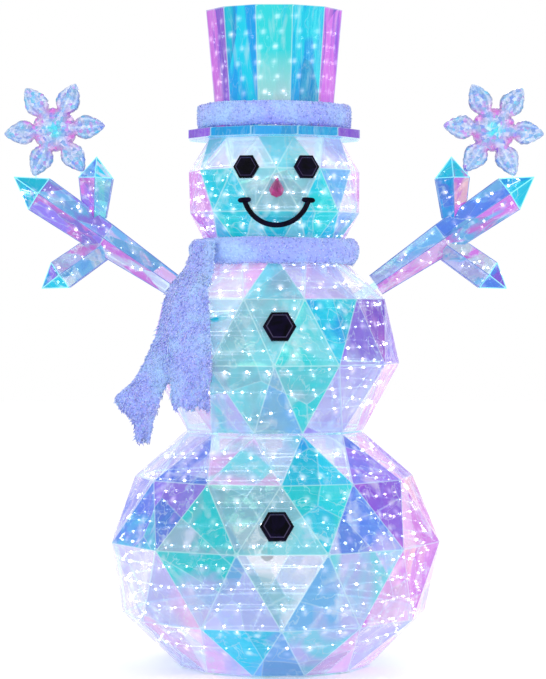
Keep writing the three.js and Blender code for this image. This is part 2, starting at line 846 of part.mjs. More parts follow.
// The forearm has six long wires too, from a disc on the spigot, and one on its axis.
function forearmWires(side) {
  const [first, last] = [ARM.sleeve[0], ARM.sleeve[ARM.sleeve.length - 1]];
  const root = first.t + END_RISE;
  const start = sleeveRing(side, ARM, root, first.r - INSET);
  const end = sleeveRing(side, ARM, last.t, last.r - INSET);
  return [
    ...start.map((point, i) => bar(point, end[i], STRUT_WIRE, 3)),
    bar(armLine(side, root - 1.5), armLine(side, root + 1.5), first.r - INSET + 2.5, 12),
    bar(armLine(side, SPIGOT.to - 5), armLine(side, last.t + HINGE.outerFoot), 2.6, 6),
  ];
}

// The lights of an arm wind round the wire on its axis.
function armLights(side) {
  const axis = armLine(side, 1).sub(armLine(side, 0));
  const front = new THREE.Vector3(0, -1, 0);
  const up = axis.clone().cross(front);
  const { from, to, steps, r, phase } = ARM_LIGHTS;
  const at = (t, out, angle) =>
    armLine(side, t)
      .addScaledVector(front, out * Math.cos(rad(angle)))
      .addScaledVector(up, side * out * Math.sin(rad(angle)));
  const bends = Array.from({ length: steps + 1 }, (_, i) => {
    return at(from + ((to - from) * i) / steps, r, phase + i * 60);
  });
  return beadedCord([at(SPIGOT.to + 3, 5.4, phase - 60), ...bends], (i) => i > 0 && i % 2 === 0);
}

function flakeSpots(side) {
  const centre = new THREE.Vector3(side * FLAKE.x, 0, FLAKE.z);
  const ray = (angle, r) => {
    const [over, up] = [r * Math.cos(rad(angle)), r * Math.sin(rad(angle))];
    return new THREE.Vector3(centre.x - side * over, 0, centre.z + up);
  };
  const outer = ray(240 + FLAKE.turn, FLAKE.pinAt);
  const inner = ray(300 + FLAKE.turn, FLAKE.pinAt);
  return { centre, outer, inner, along: inner.clone().sub(outer).normalize() };
}

// A petal's outline is [along, half across]; the full outline is at half depth and the faces are drawn in.
function leaf(side, angle, outline, shrink) {
  const { centre } = flakeSpots(side);
  const along = new THREE.Vector3(-side * Math.cos(rad(angle)), 0, Math.sin(rad(angle)));
  const across = new THREE.Vector3(-along.z, 0, along.x);
  const deep = FLAKE.depth / 2 - shrink;
  const middle = (outline[0][0] + outline[outline.length - 1][0]) / 2;
  const outside = [
    [-deep, FLAKE.bevel],
    [0, 0],
    [deep, FLAKE.bevel],
  ];
  const inside = [
    [-deep * 0.7, FLAKE.bevel * 0.6 + shrink],
    [deep * 0.7, FLAKE.bevel * 0.6 + shrink],
  ];
  return hull(
    (shrink > 0 ? inside : outside).flatMap(([y, drawn]) =>
      outline.flatMap(([u, v]) =>
        [-1, 1].map((sign) =>
          centre
            .clone()
            .addScaledVector(along, u > middle ? u - drawn : u)
            .addScaledVector(across, sign * Math.max(0, v - drawn))
            .setY(y),
        ),
      ),
    ),
  );
}
const HEAD_OUTLINE = [
  [48, FLAKE.neck],
  [72, FLAKE.lobe],
  [108, 12],
  [FLAKE.r, 4],
];
const NECK_OUTLINE = [
  [14, FLAKE.neck],
  [64, FLAKE.neck],
];
function flakeBody(side, shrink) {
  const petals = Array.from({ length: 6 }, (_, i) => FLAKE.turn + 60 * i).flatMap((angle) => [
    leaf(side, angle, HEAD_OUTLINE, shrink),
    leaf(side, angle, NECK_OUTLINE, shrink),
  ]);
  const { centre } = flakeSpots(side);
  const deep = FLAKE.depth / 2 - shrink;
  const hub = bar(centre.clone().setY(-deep), centre.clone().setY(deep), FLAKE.hub - shrink, 6);
  return join([hub, ...petals]);
}

// Each lower petal has a slot near its tip, crossed by a pin that turns in an eye of the arm.
function flake(side) {
  const { centre, outer, inner, along } = flakeSpots(side);
  const span = (at, from, to, r, sides) =>
    bar(at.clone().addScaledVector(along, from), at.clone().addScaledVector(along, to), r, sides);
  const half = HINGE.slot / 2;
  const ends = [outer, inner];
  const slots = ends.map((at) => span(at, -half, half, HINGE.slotR, 8));
  const pins = ends.map((at) => span(at, -HINGE.pinLong / 2, HINGE.pinLong / 2, HINGE.pin, 8));
  const shell = flakeBody(side, 0).subtract(flakeBody(side, FLAKE.wall));
  const cheeks = ends.flatMap((at) => [
    span(at, -half - HINGE.cheek, -half, HINGE.cheekR, 8),
    span(at, half, half + HINGE.cheek, HINGE.cheekR, 8),
  ]);
  const drain = bar(centre.clone(), centre.clone().setY(FLAKE.depth), 2, 6);
  return join([cut(shell, [...slots, drain]), ...cheeks, ...pins]);
}

// An eye stands on a post that is welded to the arm's wires and comes out through the film.
const hingeEye = (side, at) => {
  const { along } = flakeSpots(side);
  const half = HINGE.eyeLong / 2;
  const [a, b] = [-half, half].map((shift) => at.clone().addScaledVector(along, shift));
  return tube(a, b, HINGE.eye, HINGE.bore, 8);
};
const hingePost = (at, foot) => {
  const down = foot.clone().sub(at).normalize();
  return bar(foot, at.clone().addScaledVector(down, HINGE.bore + 1), HINGE.post, 6);
};
const postHole = (at, foot) => bar(foot, at, HINGE.post + 1.2, 6);

["left", "right"].forEach((where, i) => {
  const side = i === 0 ? -1 : 1;
  const forearm = crystal(side, ARM, GAP);
  const { outer, inner } = flakeSpots(side);
  const outerFoot = armLine(side, ARM.sleeve[2].t + HINGE.outerFoot);
  const down = outerFoot.clone().sub(outer).normalize();
  const innerFoot = inner.clone().addScaledVector(down, HINGE.innerPost);
  const spigot = bar(armLine(side, SPIGOT.from), armLine(side, SPIGOT.to), SPIGOT.r, 12);
  const rootHole = bar(armLine(side, 0), armLine(side, 30), SPIGOT.r + 1, 12);
  const throat = (spec) => bar(armLine(side, -5, spec), armLine(side, spec.open, spec), 12, 8);
  const branch = (spec) => bar(armLine(side, spec.joinAt), armLine(side, spec.tip - 22, spec), 3, 6);
  add(
    where + "_arm_frame",
    join([
      spigot,
      ...forearmWires(side),
      ...[ARM, THUMB, LOW_FINGER].flatMap((spec) => crystalRing(side, spec)),
      branch(THUMB),
      branch(LOW_FINGER),
      hingePost(outer, outerFoot),
      hingePost(inner, innerFoot),
      hingeEye(side, outer),
      hingeEye(side, inner),
    ]),
    WHITE_WIRE,
  );
  add(
    where + "_forearm_film",
    cut(crystalSkin(side, ARM), [rootHole, throat(THUMB), throat(LOW_FINGER), postHole(outer, outerFoot)]),
    FILM_BLUE,
  );
  const thumb = crystalSkin(side, THUMB).subtract(forearm);
  add(where + "_thumb_film", thumb.subtract(postHole(inner, innerFoot)), FILM_BLUE);
  add(where + "_finger_film", crystalSkin(side, LOW_FINGER).subtract(forearm), FILM_BLUE);
  add(where + "_arm_light_string", armLights(side), CLEAR_CORD);
  add(where + "_snowflake", flake(side), FLAKE_CLEAR);
});

export default snowman;
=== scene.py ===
"""A lighted yard snowman: facets of iridescent film over wire cages with strings of lights, black hexagon
eyes and buttons, crystal arms with moulded snowflakes, and a plush scarf and hat band.

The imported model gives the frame: bodies, joints and node boxes. Lengths are metres unless a comment says
otherwise, +Z is up and the figure faces -Y. Angles are degrees.
"""

import math
import random

import bpy
from mathutils import Matrix, Vector, noise
from mathutils.kdtree import KDTree


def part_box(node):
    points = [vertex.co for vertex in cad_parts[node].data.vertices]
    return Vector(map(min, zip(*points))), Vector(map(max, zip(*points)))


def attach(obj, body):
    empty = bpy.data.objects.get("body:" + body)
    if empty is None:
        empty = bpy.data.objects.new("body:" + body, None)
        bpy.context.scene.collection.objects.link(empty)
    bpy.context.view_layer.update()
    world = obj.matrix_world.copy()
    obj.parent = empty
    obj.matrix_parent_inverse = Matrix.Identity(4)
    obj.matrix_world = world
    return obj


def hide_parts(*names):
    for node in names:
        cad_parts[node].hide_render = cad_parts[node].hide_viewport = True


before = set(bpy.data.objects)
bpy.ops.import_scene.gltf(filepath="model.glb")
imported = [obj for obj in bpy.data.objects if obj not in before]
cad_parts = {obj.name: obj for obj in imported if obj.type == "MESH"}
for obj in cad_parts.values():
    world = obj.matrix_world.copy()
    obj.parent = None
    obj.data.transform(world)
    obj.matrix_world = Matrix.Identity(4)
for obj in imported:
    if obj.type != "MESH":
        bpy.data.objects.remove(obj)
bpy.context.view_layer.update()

# ---------------------------------------------------------------- driving dimensions
MM = 0.001
SIDES = 12
STEP = 360 / SIDES
HALF_STEP = STEP / 2
BASE_TURN = 2.7
FACE_TURN = 1.5
FILM_GRID = 32  # a ball facet's edge is divided into this many parts
SEAM_FADE = 4.2 * MM  # how far the pale line at a seam reaches into the film
SEAM_WIRE = 1.1 * MM
WIRE_INSET = 8 * MM  # of the seam wires' ends from the corners of a ring
END_INSET = 4 * MM  # the same at a skin's top and bottom ring
END_RISE = 6 * MM  # of the wires' ends from the deck there
SET_BACK = 0.8 * MM  # of the crinkled film behind its facet's plane
HOLD_TO = 12 * MM  # from a facet's seams the film is free to crinkle fully
PANEL_HOLD_TO = 10 * MM
CORE_HOLE = 21 * MM  # in the decks, for the pins and couplers
BALL_SPACING = 50 * MM  # of the bulbs along a string, as are the next three
HEAD_SPACING = 45 * MM
HAT_SPACING = 42 * MM
ARM_SPACING = 36 * MM
LIGHT_GAP = 10.5 * MM  # from a string of lights to the film in front of it
GLOW_DEPTH = 24 * MM  # how far behind the film a bulb can be before its glow fades
FOOT_SHARE = 0.62  # of a fading panel's height, where its foot tint has faded out
WIDE_SEAM = 6 * MM
ARM_RISE = 34.3
FRONT = Vector((0, -1, 0))


def ring(z, r, side, turn=0.0):
    """One level of a faceted skin, in millimetres: a side or a corner of its 12-gon faces the front."""
    return {"z": z * MM, "r": r * MM, "side": side, "turn": turn}


BASE = [
    ring(3.5, 226, True, BASE_TURN),
    ring(122, 354, False, BASE_TURN),
    ring(293, 391, True, BASE_TURN),
    ring(440, 325, False, BASE_TURN),
    ring(544, 211, True, BASE_TURN),
]
TORSO = [
    ring(548, 211, True, BASE_TURN),
    ring(703, 293, False),
    ring(853, 265, True),
    ring(955, 147, False),
]
HEAD = [
    ring(959, 147, False, FACE_TURN),
    ring(1052, 203, True, FACE_TURN),
    ring(1150, 200, False, FACE_TURN),
    ring(1224, 158, True, FACE_TURN),
]
BRIM = [ring(1225, 206, True), ring(1245, 206, True)]
CROWN = [ring(1245.4, 138, True), ring(1524, 164, True)]
HAT_CAGE = [ring(1225, 138, True), ring(1524, 164, True)]

# Film colours, by letter, as they look with white behind them.
PALETTE = {
    "w": (0.93, 0.92, 1.0),
    "l": (0.74, 0.72, 0.97),
    "p": (0.95, 0.72, 0.95),
    "m": (0.84, 0.42, 0.90),
    "v": (0.58, 0.42, 0.93),
    "b": (0.32, 0.46, 0.92),
    "s": (0.45, 0.70, 0.96),
    "c": (0.0, 0.80, 0.93),
    "t": (0.0, 0.83, 0.88),
    "a": (0.48, 0.85, 0.93),
    "g": (0.54, 0.72, 0.82),
    "o": (0.98, 0.72, 0.80),
    "k": (0.0, 0.60, 0.92),
    "u": (0.50, 0.24, 0.84),
}
# Each band's main and second colours, facet by facet from azimuth -90 to 90; the back repeats them.
BASE_BANDS = [
    ("wllplcslllplw", "lwlwpssaplwwl"),
    ("wllpllgllmolw", "lwwltswsapmpl"),
    ("wlbvtggtbupmw", "lbcbgtaclmmop"),
    ("wlwbwpwcwvpmw", "lwllpaaklbwvp"),
]
TORSO_BANDS = [
    ("wpllagggvvppw", "pwwplastllwmw"),
    ("wmvlwggacvuvp", "pvbpcaatklmbw"),
    ("wwppwpawllwwp", "pplwpwglpwwpw"),
]
HEAD_BANDS = [
    ("ppmlcacaccapp", "vmlctagatcslm"),
    ("mmpcagggccmmm", "pmmtcaaatswpm"),
    ("wpllaaaawllpw", "pwawwwaawwlwp"),
]
CROWN_BAND = ("vmcckmv", "vuktcuv")
BRIM_BAND = ("uukkkuu", "uukkkuu")
CROWN_FOOT = (0.80, 0.86, 0.84)  # the crown's front and back panels fade to this at their foot


# ---------------------------------------------------------------- small helpers
def around(r, angle, z):
    """A point at a compass angle from the front (-Y), turning towards +X."""
    a = math.radians(angle)
    return Vector((r * math.sin(a), -r * math.cos(a), z))


def linear(colour):
    """An sRGB colour in 0..1 as linear RGBA."""
    steps = [c / 12.92 if c <= 0.04045 else ((c + 0.055) / 1.055) ** 2.4 for c in colour]
    return (*steps, 1.0)


def film_tint(letter):
    """A film colour as linear RGBA."""
    return linear(PALETTE[letter])


def blend(first, second, share):
    """A colour that is a share of the way from the first to the second."""
    return tuple(a + (b - a) * share for a, b in zip(first, second))


def corner(level, index, inset=0.0):
    """The corner of a ring nearest to 15 degrees times index."""
    return around(level["r"] - inset, level["turn"] + index * HALF_STEP, level["z"])


def radius_at(levels, z):
    """A skin's corner radius at a height."""
    for low, high in zip(levels, levels[1:]):
        if z <= high["z"]:
            break
    share = (z - low["z"]) / (high["z"] - low["z"])
    return low["r"] + (high["r"] - low["r"]) * share


class Build:
    """Collects vertices, faces and per-vertex values, and makes them one mesh object."""

    def __init__(self):
        self.verts = []
        self.faces = []
        self.values = {}

    def add(self, verts, faces, **values):
        """Adds a part; each value is one for all its vertices or a list of one for each."""
        start = len(self.verts)
        self.verts.extend(verts)
        self.faces.extend(tuple(start + i for i in face) for face in faces)
        for name, given in values.items():
            same = isinstance(given, (tuple, float))
            self.values.setdefault(name, []).extend([given] * len(verts) if same else given)

    def piece(self, name, body, material, smooth=True, replaces=(), slot=None):
        """Makes the mesh object, says which body it rides on, and hides the CAD nodes that it replaces."""
        mesh = bpy.data.meshes.new(name)
        mesh.from_pydata([tuple(v) for v in self.verts], [], self.faces)
        for key, store in self.values.items():
            colour = isinstance(store[0], tuple)
            layer = mesh.attributes.new(key, "FLOAT_COLOR" if colour else "FLOAT", "POINT")
            flat = [x for item in store for x in item] if colour else store
            layer.data.foreach_set("color" if colour else "value", flat)
        mesh.polygons.foreach_set("use_smooth", [smooth] * len(mesh.polygons))
        mesh.update()
        mesh.materials.append(material)
        obj = place_object(name, mesh)
        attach(obj, body)
        if replaces:
            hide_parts(*replaces)
        return obj


def place_object(name, data):
    """A new object in the scene."""
    obj = bpy.data.objects.new(name, data)
    bpy.context.scene.collection.objects.link(obj)
    return obj


def ring_faces(rows, count, closed=False):
    """Quads between rows of points. Each row closes on itself; the last row may join the first."""
    faces = []
    for j in range(rows if closed else rows - 1):
        here = j * count
        there = (j + 1) % rows * count
        for k in range(count):
            after = (k + 1) % count
            faces.append((here + k, here + after, there + after, there + k))
    return faces


def capped_faces(rows, count):
    """The quads of a tube, and a cap at each of its ends."""
    last = (rows - 1) * count
    return ring_faces(rows, count) + [tuple(range(count))[::-1], tuple(range(last, last + count))]


def turned_over(faces):
    """The same quads with their normals reversed."""
    return [(a, d, c, b) for a, b, c, d in faces]


def frame_along(direction):
    """Two unit vectors square to a direction."""
    along = direction.normalized()
    steep = abs(along.z) > 0.95
    side = along.cross(Vector((0, 1, 0) if steep else (0, 0, 1))).normalized()
    return side, side.cross(along).normalized()


def spoke(side, up, k, count):
    """The k-th of count directions from side towards up and on round."""
    a = 2 * math.pi * k / count
    return side * math.cos(a) + up * math.sin(a)


def tube(build, points, r, sides, **values):
    """A round tube along a polyline; r is a number or one radius for each point."""
    radii = r if isinstance(r, list) else [r] * len(points)
    verts = []
    for i, point in enumerate(points):
        along = points[min(i + 1, len(points) - 1)] - points[max(i - 1, 0)]
        side, up = frame_along(along)
        verts.extend(point + spoke(side, up, k, sides) * radii[i] for k in range(sides))
    build.add(verts, capped_faces(len(points), sides), **values)


# ---------------------------------------------------------------- materials
class Look:
    """A new material, and short ways to add nodes to it.

    Its textures lie in object coordinates, turned about Y by some degrees and then scaled by stretch.
    """

    def __init__(self, name, stretch=(1, 1, 1), turn=0.0):
        self.material = bpy.data.materials.new(name)
        self.material.use_nodes = True
        self.tree = self.material.node_tree
        self.stretch = stretch
        self.turn = turn

    def node(self, kind, **settings):
        """A new node; the settings are its own attributes."""
        made = self.tree.nodes.new("ShaderNode" + kind)
        for key, value in settings.items():
            setattr(made, key, value)
        return made

    def feed(self, made, values):
        """Sets a node's inputs, each to a value or to another node's output."""
        for key, value in values.items():
            if isinstance(value, bpy.types.NodeSocket):
                self.tree.links.new(value, made.inputs[key])
            else:
                made.inputs[key].default_value = value
        return made

    def shade(self, values):
        """Sets the surface's own inputs."""
        self.feed(self.tree.nodes["Principled BSDF"], values)

    def shine(self, colour, strength, values):
        """Sets the surface's inputs; it gives off a little light in its own colour."""
        self.shade({"Base Color": colour, "Emission Color": colour, "Emission Strength": strength, **values})

    def attribute(self, name, output="Color"):
        """A value that the mesh holds for each vertex."""
        return self.node("Attribute", attribute_name=name).outputs[output]

    def texture(self, kind, values, stretch=None, **settings):
        place = self.feed(self.node("Mapping", vector_type="TEXTURE"), {
            "Vector": self.node("TexCoord").outputs["Object"],
            "Rotation": (0, math.radians(self.turn), 0),
            "Scale": [1 / size for size in stretch or self.stretch],
        })
        values["Vector"] = place.outputs["Vector"]
        return self.feed(self.node("Tex" + kind, **settings), values)

    def noise(self, scale, detail=3.0, distortion=0.0, stretch=None):
        values = {"Scale": scale, "Detail": detail, "Distortion": distortion}
        return self.texture("Noise", values, stretch).outputs["Fac"]

    def cells(self, scale):
        """Random cells: their distance output and two random values for each cell."""
        made = self.texture("Voronoi", {"Scale": scale})
        parts = self.feed(self.node("SeparateColor"), {"Color": made.outputs["Color"]})
        return made.outputs["Distance"], parts.outputs["Red"], parts.outputs["Green"]

    def cell_lines(self, scale, width):
        """Straight thin lines between random cells: 1 on a line, 0 off it."""
        edges = self.texture("Voronoi", {"Scale": scale}, feature="DISTANCE_TO_EDGE")
        return self.ramp(edges.outputs["Distance"], 0.0, width, 1.0, 0.0)

    def wrinkle_lines(self, scale, width):
        """Thin wandering lines, as along the wrinkles of crumpled film: 1 on a line, 0 off it."""
        away = self.maths("SUBTRACT", self.noise(scale, 4.0, 0.5), 0.5)
        return self.ramp(self.maths("ABSOLUTE", away, 0.0), 0.0, width, 1.0, 0.0)

    def ramp(self, source, low, high, start=0.0, end=1.0):
        """Maps a value from low..high to start..end."""
        values = {"Value": source, "From Min": low, "From Max": high, "To Min": start, "To Max": end}
        return self.feed(self.node("MapRange"), values).outputs["Result"]

    def mix(self, share, first, second, kind="MIX"):
        made = self.node("Mix", data_type="RGBA", blend_type=kind)
        return self.feed(made, {0: share, 6: first, 7: second}).outputs[2]

    def maths(self, operation, first, second, clamp=False):
        made = self.node("Math", operation=operation, use_clamp=clamp)
        return self.feed(made, {0: first, 1: second}).outputs[0]

    def times(self, first, second):
        return self.maths("MULTIPLY", first, second)

    def bump(self, height, strength, distance, below=None):
        values = {"Height": height, "Strength": strength, "Distance": distance}
        if below is not None:
            values["Normal"] = below
        return self.feed(self.node("Bump"), values).outputs["Normal"]


def film_material(name, patch_scale=5.0, stretch=(1, 1, 1), turn=0.0, clear=0.50, dense=0.90,
                  haze_most=0.45, crease_glint_most=0.32, wrinkle_glint_most=0.34):
    """Clear film with patches of two tints, pale thin seams, painted glints along creases and wrinkles, and
    painted light where a bulb is near.

    Strong tints hide what is behind them and pale ones let it through.
    """
    look = Look(name, stretch, turn)
    _, cell_tint, cell_shade = look.cells(patch_scale)
    drifted = look.maths("ADD", look.times(cell_tint, 0.18), look.noise(patch_scale, 3.0, 0.8))
    tint = look.mix(look.ramp(drifted, 0.54, 0.66), look.attribute("tint"), look.attribute("accent"))
    tint = look.mix(1.0, tint, look.ramp(cell_shade, 0.0, 1.0, 0.78, 1.12), "MULTIPLY")
    haze = look.ramp(look.noise(20.0, 5.0, 0.4), 0.56, 0.72, 0.0, haze_most)
    # Painted glints: pale straight lines along the creases between cells and wandering lines along the
    # wrinkles; the wrinkle lines also bump the surface.
    crease_glint = look.cell_lines(patch_scale, 0.012)
    wrinkles_and_glints = look.wrinkle_lines(15.0, 0.016)
    seam = look.ramp(look.attribute("edge", "Fac"), 0.62, 0.93)
    lit = look.attribute("glow", "Fac")
    layers = (
        (haze, (0.95, 0.97, 1.0)),
        (look.times(crease_glint, crease_glint_most), (0.88, 0.97, 1.0)),
        (look.times(wrinkles_and_glints, wrinkle_glint_most), (0.90, 0.98, 1.0)),
        (look.times(seam, 0.48), (0.84, 0.97, 1.0)),
        (lit, (1.0, 0.95, 1.0)),
    )
    for share, colour in layers:
        tint = look.mix(share, tint, linear(colour))
    saturation = look.feed(look.node("SeparateColor", mode="HSV"), {"Color": tint}).outputs["Green"]
    alpha = look.ramp(saturation, 0.10, 0.75, clear, dense)
    alpha = look.maths("ADD", alpha, look.times(seam, 0.25))
    alpha = look.maths("ADD", alpha, look.times(lit, 0.3), True)
    waves = look.bump(look.noise(16.0, 5.0, 0.8), 0.6, 4 * MM)
    # The film gives off an even painted glow in its own tint, and more painted light where a bulb is near.
    look.shade({
        "Base Color": look.mix(1.0, tint, (0.5, 0.5, 0.5, 1), "MULTIPLY"),
        "Emission Color": tint,
        "Emission Strength": look.maths("ADD", look.times(lit, 0.7), 0.36),
        "Alpha": alpha,
        "Roughness": 0.14,
        "Specular IOR Level": 0.4,
        "Coat Weight": 0.1,
        "Coat Roughness": 0.06,
        "Thin Film Thickness": 420.0,
        "Thin Film IOR": 1.6,
        "Normal": look.bump(wrinkles_and_glints, 0.3, 1 * MM, waves),
    })
    return look.material


def wire_material():
    """White coated wire with a pale blue cast and small scuffs."""
    look = Look("coated_wire")
    scuff = look.noise(90.0, 6.0)
    colour = look.mix(look.ramp(scuff, 0.55, 0.7), linear((0.80, 0.95, 0.99)), linear((0.55, 0.76, 0.88)))
    look.shine(colour, 0.45, {
        "Roughness": look.ramp(scuff, 0.3, 0.7, 0.25, 0.45),
        "Normal": look.bump(scuff, 0.15, 0.3 * MM),
    })
    return look.material


def cord_material():
    """Clear cord that glows a little with its bulbs."""
    look = Look("clear_cord")
    twist = look.noise(220.0, 2.0)
    colour = look.mix(twist, linear((0.94, 0.99, 1.0)), linear((0.76, 0.90, 0.98)))
    look.shine(colour, 0.8, {"Roughness": 0.3, "Normal": look.bump(twist, 0.3, 0.3 * MM)})
    return look.material


def bulb_material():
    """A lit bulb: white, with a drift of pink and cyan from bulb to bulb."""
    look = Look("lit_bulb")
    drift = look.ramp(look.noise(14.0, 1.0), 0.4, 0.6)
    colour = look.mix(drift, linear((0.90, 1.0, 1.0)), linear((1.0, 0.92, 1.0)))
    look.shine(colour, 12.0, {"Roughness": 0.2})
    return look.material


def gem_material():
    """Glossy black plastic with a deep violet cast, faint swirls and a few fine scratches."""
    look = Look("black_gem")
    swirl = look.ramp(look.noise(22.0, 5.0, 1.5), 0.4, 0.7)
    scratch = look.noise(60.0, 6.0, 0.0, (1, 1, 12))
    look.shade({
        "Base Color": look.mix(swirl, linear((0.0, 0.0, 0.03)), linear((0.05, 0.02, 0.15))),
        "Roughness": look.ramp(scratch, 0.35, 0.75, 0.12, 0.34),
        "Specular IOR Level": 0.06,
        "Normal": look.bump(scratch, 0.08, 0.4 * MM),
    })
    return look.material


def nose_material():
    """Crimson plastic with paler drifts and a clear coat."""
    look = Look("crimson_nose")
    drift = look.noise(40.0, 4.0, 1.0)
    colour = look.mix(look.ramp(drift, 0.38, 0.62), linear((0.48, 0.06, 0.30)), linear((0.72, 0.24, 0.52)))
    look.shine(colour, 0.12, {"Roughness": 0.3, "Coat Weight": 0.6, "Normal": look.bump(drift, 0.35, 1 * MM)})
    return look.material


def plastic_material(name, light, dark, roughness=0.42):
    """Moulded plastic with a fine grain and slight wear."""
    look = Look(name)
    wear = look.noise(35.0, 6.0)
    look.shade({
        "Base Color": look.mix(look.ramp(wear, 0.45, 0.75), linear(light), linear(dark)),
        "Roughness": look.ramp(wear, 0.3, 0.8, roughness - 0.08, roughness + 0.15),
        "Normal": look.bump(look.noise(420.0, 2.0), 0.2, 0.3 * MM),
    })
    return look.material


def plush_material():
    """Pale blue plush: each fibre has its own shade, and the pile drifts between blue and lavender."""
    look = Look("plush")
    drift = look.ramp(look.noise(11.0, 4.0, 0.5), 0.46, 0.68, 0.0, 0.6)
    colour = look.mix(drift, look.attribute("tint"), linear((0.66, 0.84, 0.97)))
    fine = look.noise(160.0, 4.0)
    colour = look.mix(look.ramp(fine, 0.5, 0.8, 0.0, 0.5), colour, linear((0.44, 0.48, 0.86)))
    look.shine(colour, 0.12, {
        "Roughness": 0.95,
        "Sheen Weight": 0.6,
        "Sheen Roughness": 0.5,
        "Normal": look.bump(fine, 0.8, 2 * MM),
    })
    return look.material


# Painted reflections: the colours that the snowflakes' fine facets catch, and where each begins in a cell's
# random value.
FLAKE_REFLECTION_STOPS = (
    (0.0, "w"), (0.2, "g"), (0.34, "c"), (0.44, "w"), (0.56, "b"), (0.68, "w"), (0.78, "m"), (0.9, "s"),
)


def snowflake_material():
    """Clear moulded plastic: fine facets with painted reflections of many colours, over the tint from the hub
    outwards.
    """
    look = Look("clear_snowflake")
    distance, cell_hue, cell_alpha = look.cells(120.0)
    colours = look.feed(look.node("ValToRGB"), {"Fac": cell_hue})
    band = colours.color_ramp
    band.interpolation = "CONSTANT"
    while len(band.elements) < len(FLAKE_REFLECTION_STOPS):
        band.elements.new(0.5)
    for element, (at, letter) in zip(band.elements, FLAKE_REFLECTION_STOPS):
        element.position = at
        element.color = film_tint(letter)
    fine = look.noise(70.0, 5.0, 1.0)
    share = look.ramp(fine, 0.40, 0.60, 0.42, 0.90)
    tint = look.mix(share, colours.outputs["Color"], look.attribute("tint"))
    facets = look.bump(distance, 1.0, 4 * MM)
    look.shine(tint, 0.05, {
        "Alpha": look.ramp(cell_alpha, 0.0, 1.0, 0.6, 1.0),
        "Roughness": 0.06,
        "Coat Weight": 0.7,
        "Coat Roughness": 0.04,
        "Normal": look.bump(fine, 0.5, 2 * MM, facets),
    })
    return look.material


def edge_material():
    """The welded edge of a film crystal: a thin bead of clear plastic."""
    look = Look("welded_edge")
    drift = look.noise(30.0, 3.0)
    share = look.ramp(drift, 0.4, 0.7, 0.0, 0.5)
    colour = look.mix(share, look.attribute("tint"), linear((0.62, 0.74, 0.95)))
    look.shine(colour, 0.2, {"Roughness": 0.2, "Normal": look.bump(drift, 0.2, 0.3 * MM)})
    return look.material


def arm_film(where, side):
    """Film with patches that run along the arm."""
    return film_material(f"{where}_arm_film", 18.0, (0.55, 1.3, 1.3), -side * ARM_RISE,
                         clear=0.62, dense=0.95, haze_most=0.28, crease_glint_most=0.2)


FILM = film_material("iridescent_film")
HAT_FILM = film_material("hat_film", 6.0, (3.0, 3.0, 0.45),
                         clear=0.8, dense=0.98, haze_most=0.28, crease_glint_most=0.0, wrinkle_glint_most=0.12)
ARM_FILMS = {-1: arm_film("left", -1), 1: arm_film("right", 1)}
WIRE = wire_material()
CORD = cord_material()
BULB = bulb_material()
GEM = gem_material()
# The violet of the gems' raised ridge is a painted highlight.
RIDGE_HIGHLIGHT = plastic_material("gem_highlight_ridge", (0.13, 0.06, 0.28), (0.06, 0.03, 0.16), 0.3)
NOSE = nose_material()
WHITE_PLASTIC = plastic_material("white_plastic", (0.93, 0.94, 0.96), (0.80, 0.83, 0.88))
DARK_RUBBER = plastic_material("dark_inlet", (0.20, 0.21, 0.25), (0.30, 0.31, 0.36), 0.6)
PLUSH = plush_material()
FLAKE = snowflake_material()
EDGE = edge_material()


# ---------------------------------------------------------------- strings of lights
CORD_RADIUS = 1.1 * MM
ARM_CORD_RADIUS = 0.8 * MM
HOLDER_RADIUS = 1.9 * MM
HOLDER_REACH = 0.8 * MM  # from the cord's middle to the foot of its bulb
# A bulb's radius and height along it, in millimetres.
BULB_PROFILE = ((0.2, 0.0), (1.5, 0.4), (2.3, 2.0), (2.2, 3.6), (1.3, 5.0), (0.2, 5.6))
BULB_SIZES = (0.8, 1.0, 1.0, 1.3, 1.6)
ARM_BULB_SIZES = (0.7, 0.9, 1.1, 1.5)


def spread_lights(points, spacing, seed):
    """Places along a polyline, about evenly spaced, each with the route's direction there."""
    chance = random.Random(seed)
    places = []
    left = spacing / 2
    for a, b in zip(points, points[1:]):
        length = (b - a).length
        while left < length:
            places.append((a.lerp(b, left / length), (b - a).normalized()))
            left += spacing * chance.uniform(0.82, 1.18)
        left -= length
    return places


def bulb(build, at, out, size):
    """One small bulb: a drop that points outwards."""
    points = [at + out * (h * size * MM) for _, h in BULB_PROFILE]
    tube(build, points, [r * size * MM for r, _ in BULB_PROFILE], 7)


def light_string(name, body, route, spacing, seed, outward, radius, sizes, holders=True):
    """A cord with bulbs, in place of a CAD light string. It returns the places of its bulbs."""
    cord = Build()
    bulbs = Build()
    chance = random.Random(seed + 100)
    tube(cord, route, radius, 6)
    places = spread_lights(route, spacing, seed)
    for at, along in places:
        out = outward(at, along)
        foot = at
        if holders:
            foot = at + out * HOLDER_REACH
            tube(cord, [at - out * 1.5 * MM, foot], HOLDER_RADIUS, 6)
        bulb(bulbs, foot, out, chance.choice(sizes))
    cord.piece(name + "_cord", body, CORD, replaces=(name + "_string",), slot="cord")
    bulbs.piece(name + "_bulbs", body, BULB, slot="cord")
    return [at for at, _ in places]


def wound_route(levels, low, high, pitch, start, lead_in=(), lead_out=()):
    """A light string's route: turn on turn inside a cage from low to high, straight from facet to facet.

    The leads run to the middle; each place on them is a radius, a turn from the winding's end and a height.
    """
    steps = round((high - low) / pitch * SIDES)
    points = []
    for i in range(steps + 1):
        z = low + i * pitch / SIDES
        r = radius_at(levels, z) * math.cos(math.radians(HALF_STEP)) - LIGHT_GAP
        points.append(around(r, start + i * STEP, z))
    end = start + steps * STEP
    first = [around(r, start + angle, z) for r, angle, z in lead_in]
    last = [around(r, end + angle, z) for r, angle, z in lead_out]
    return first + points + last


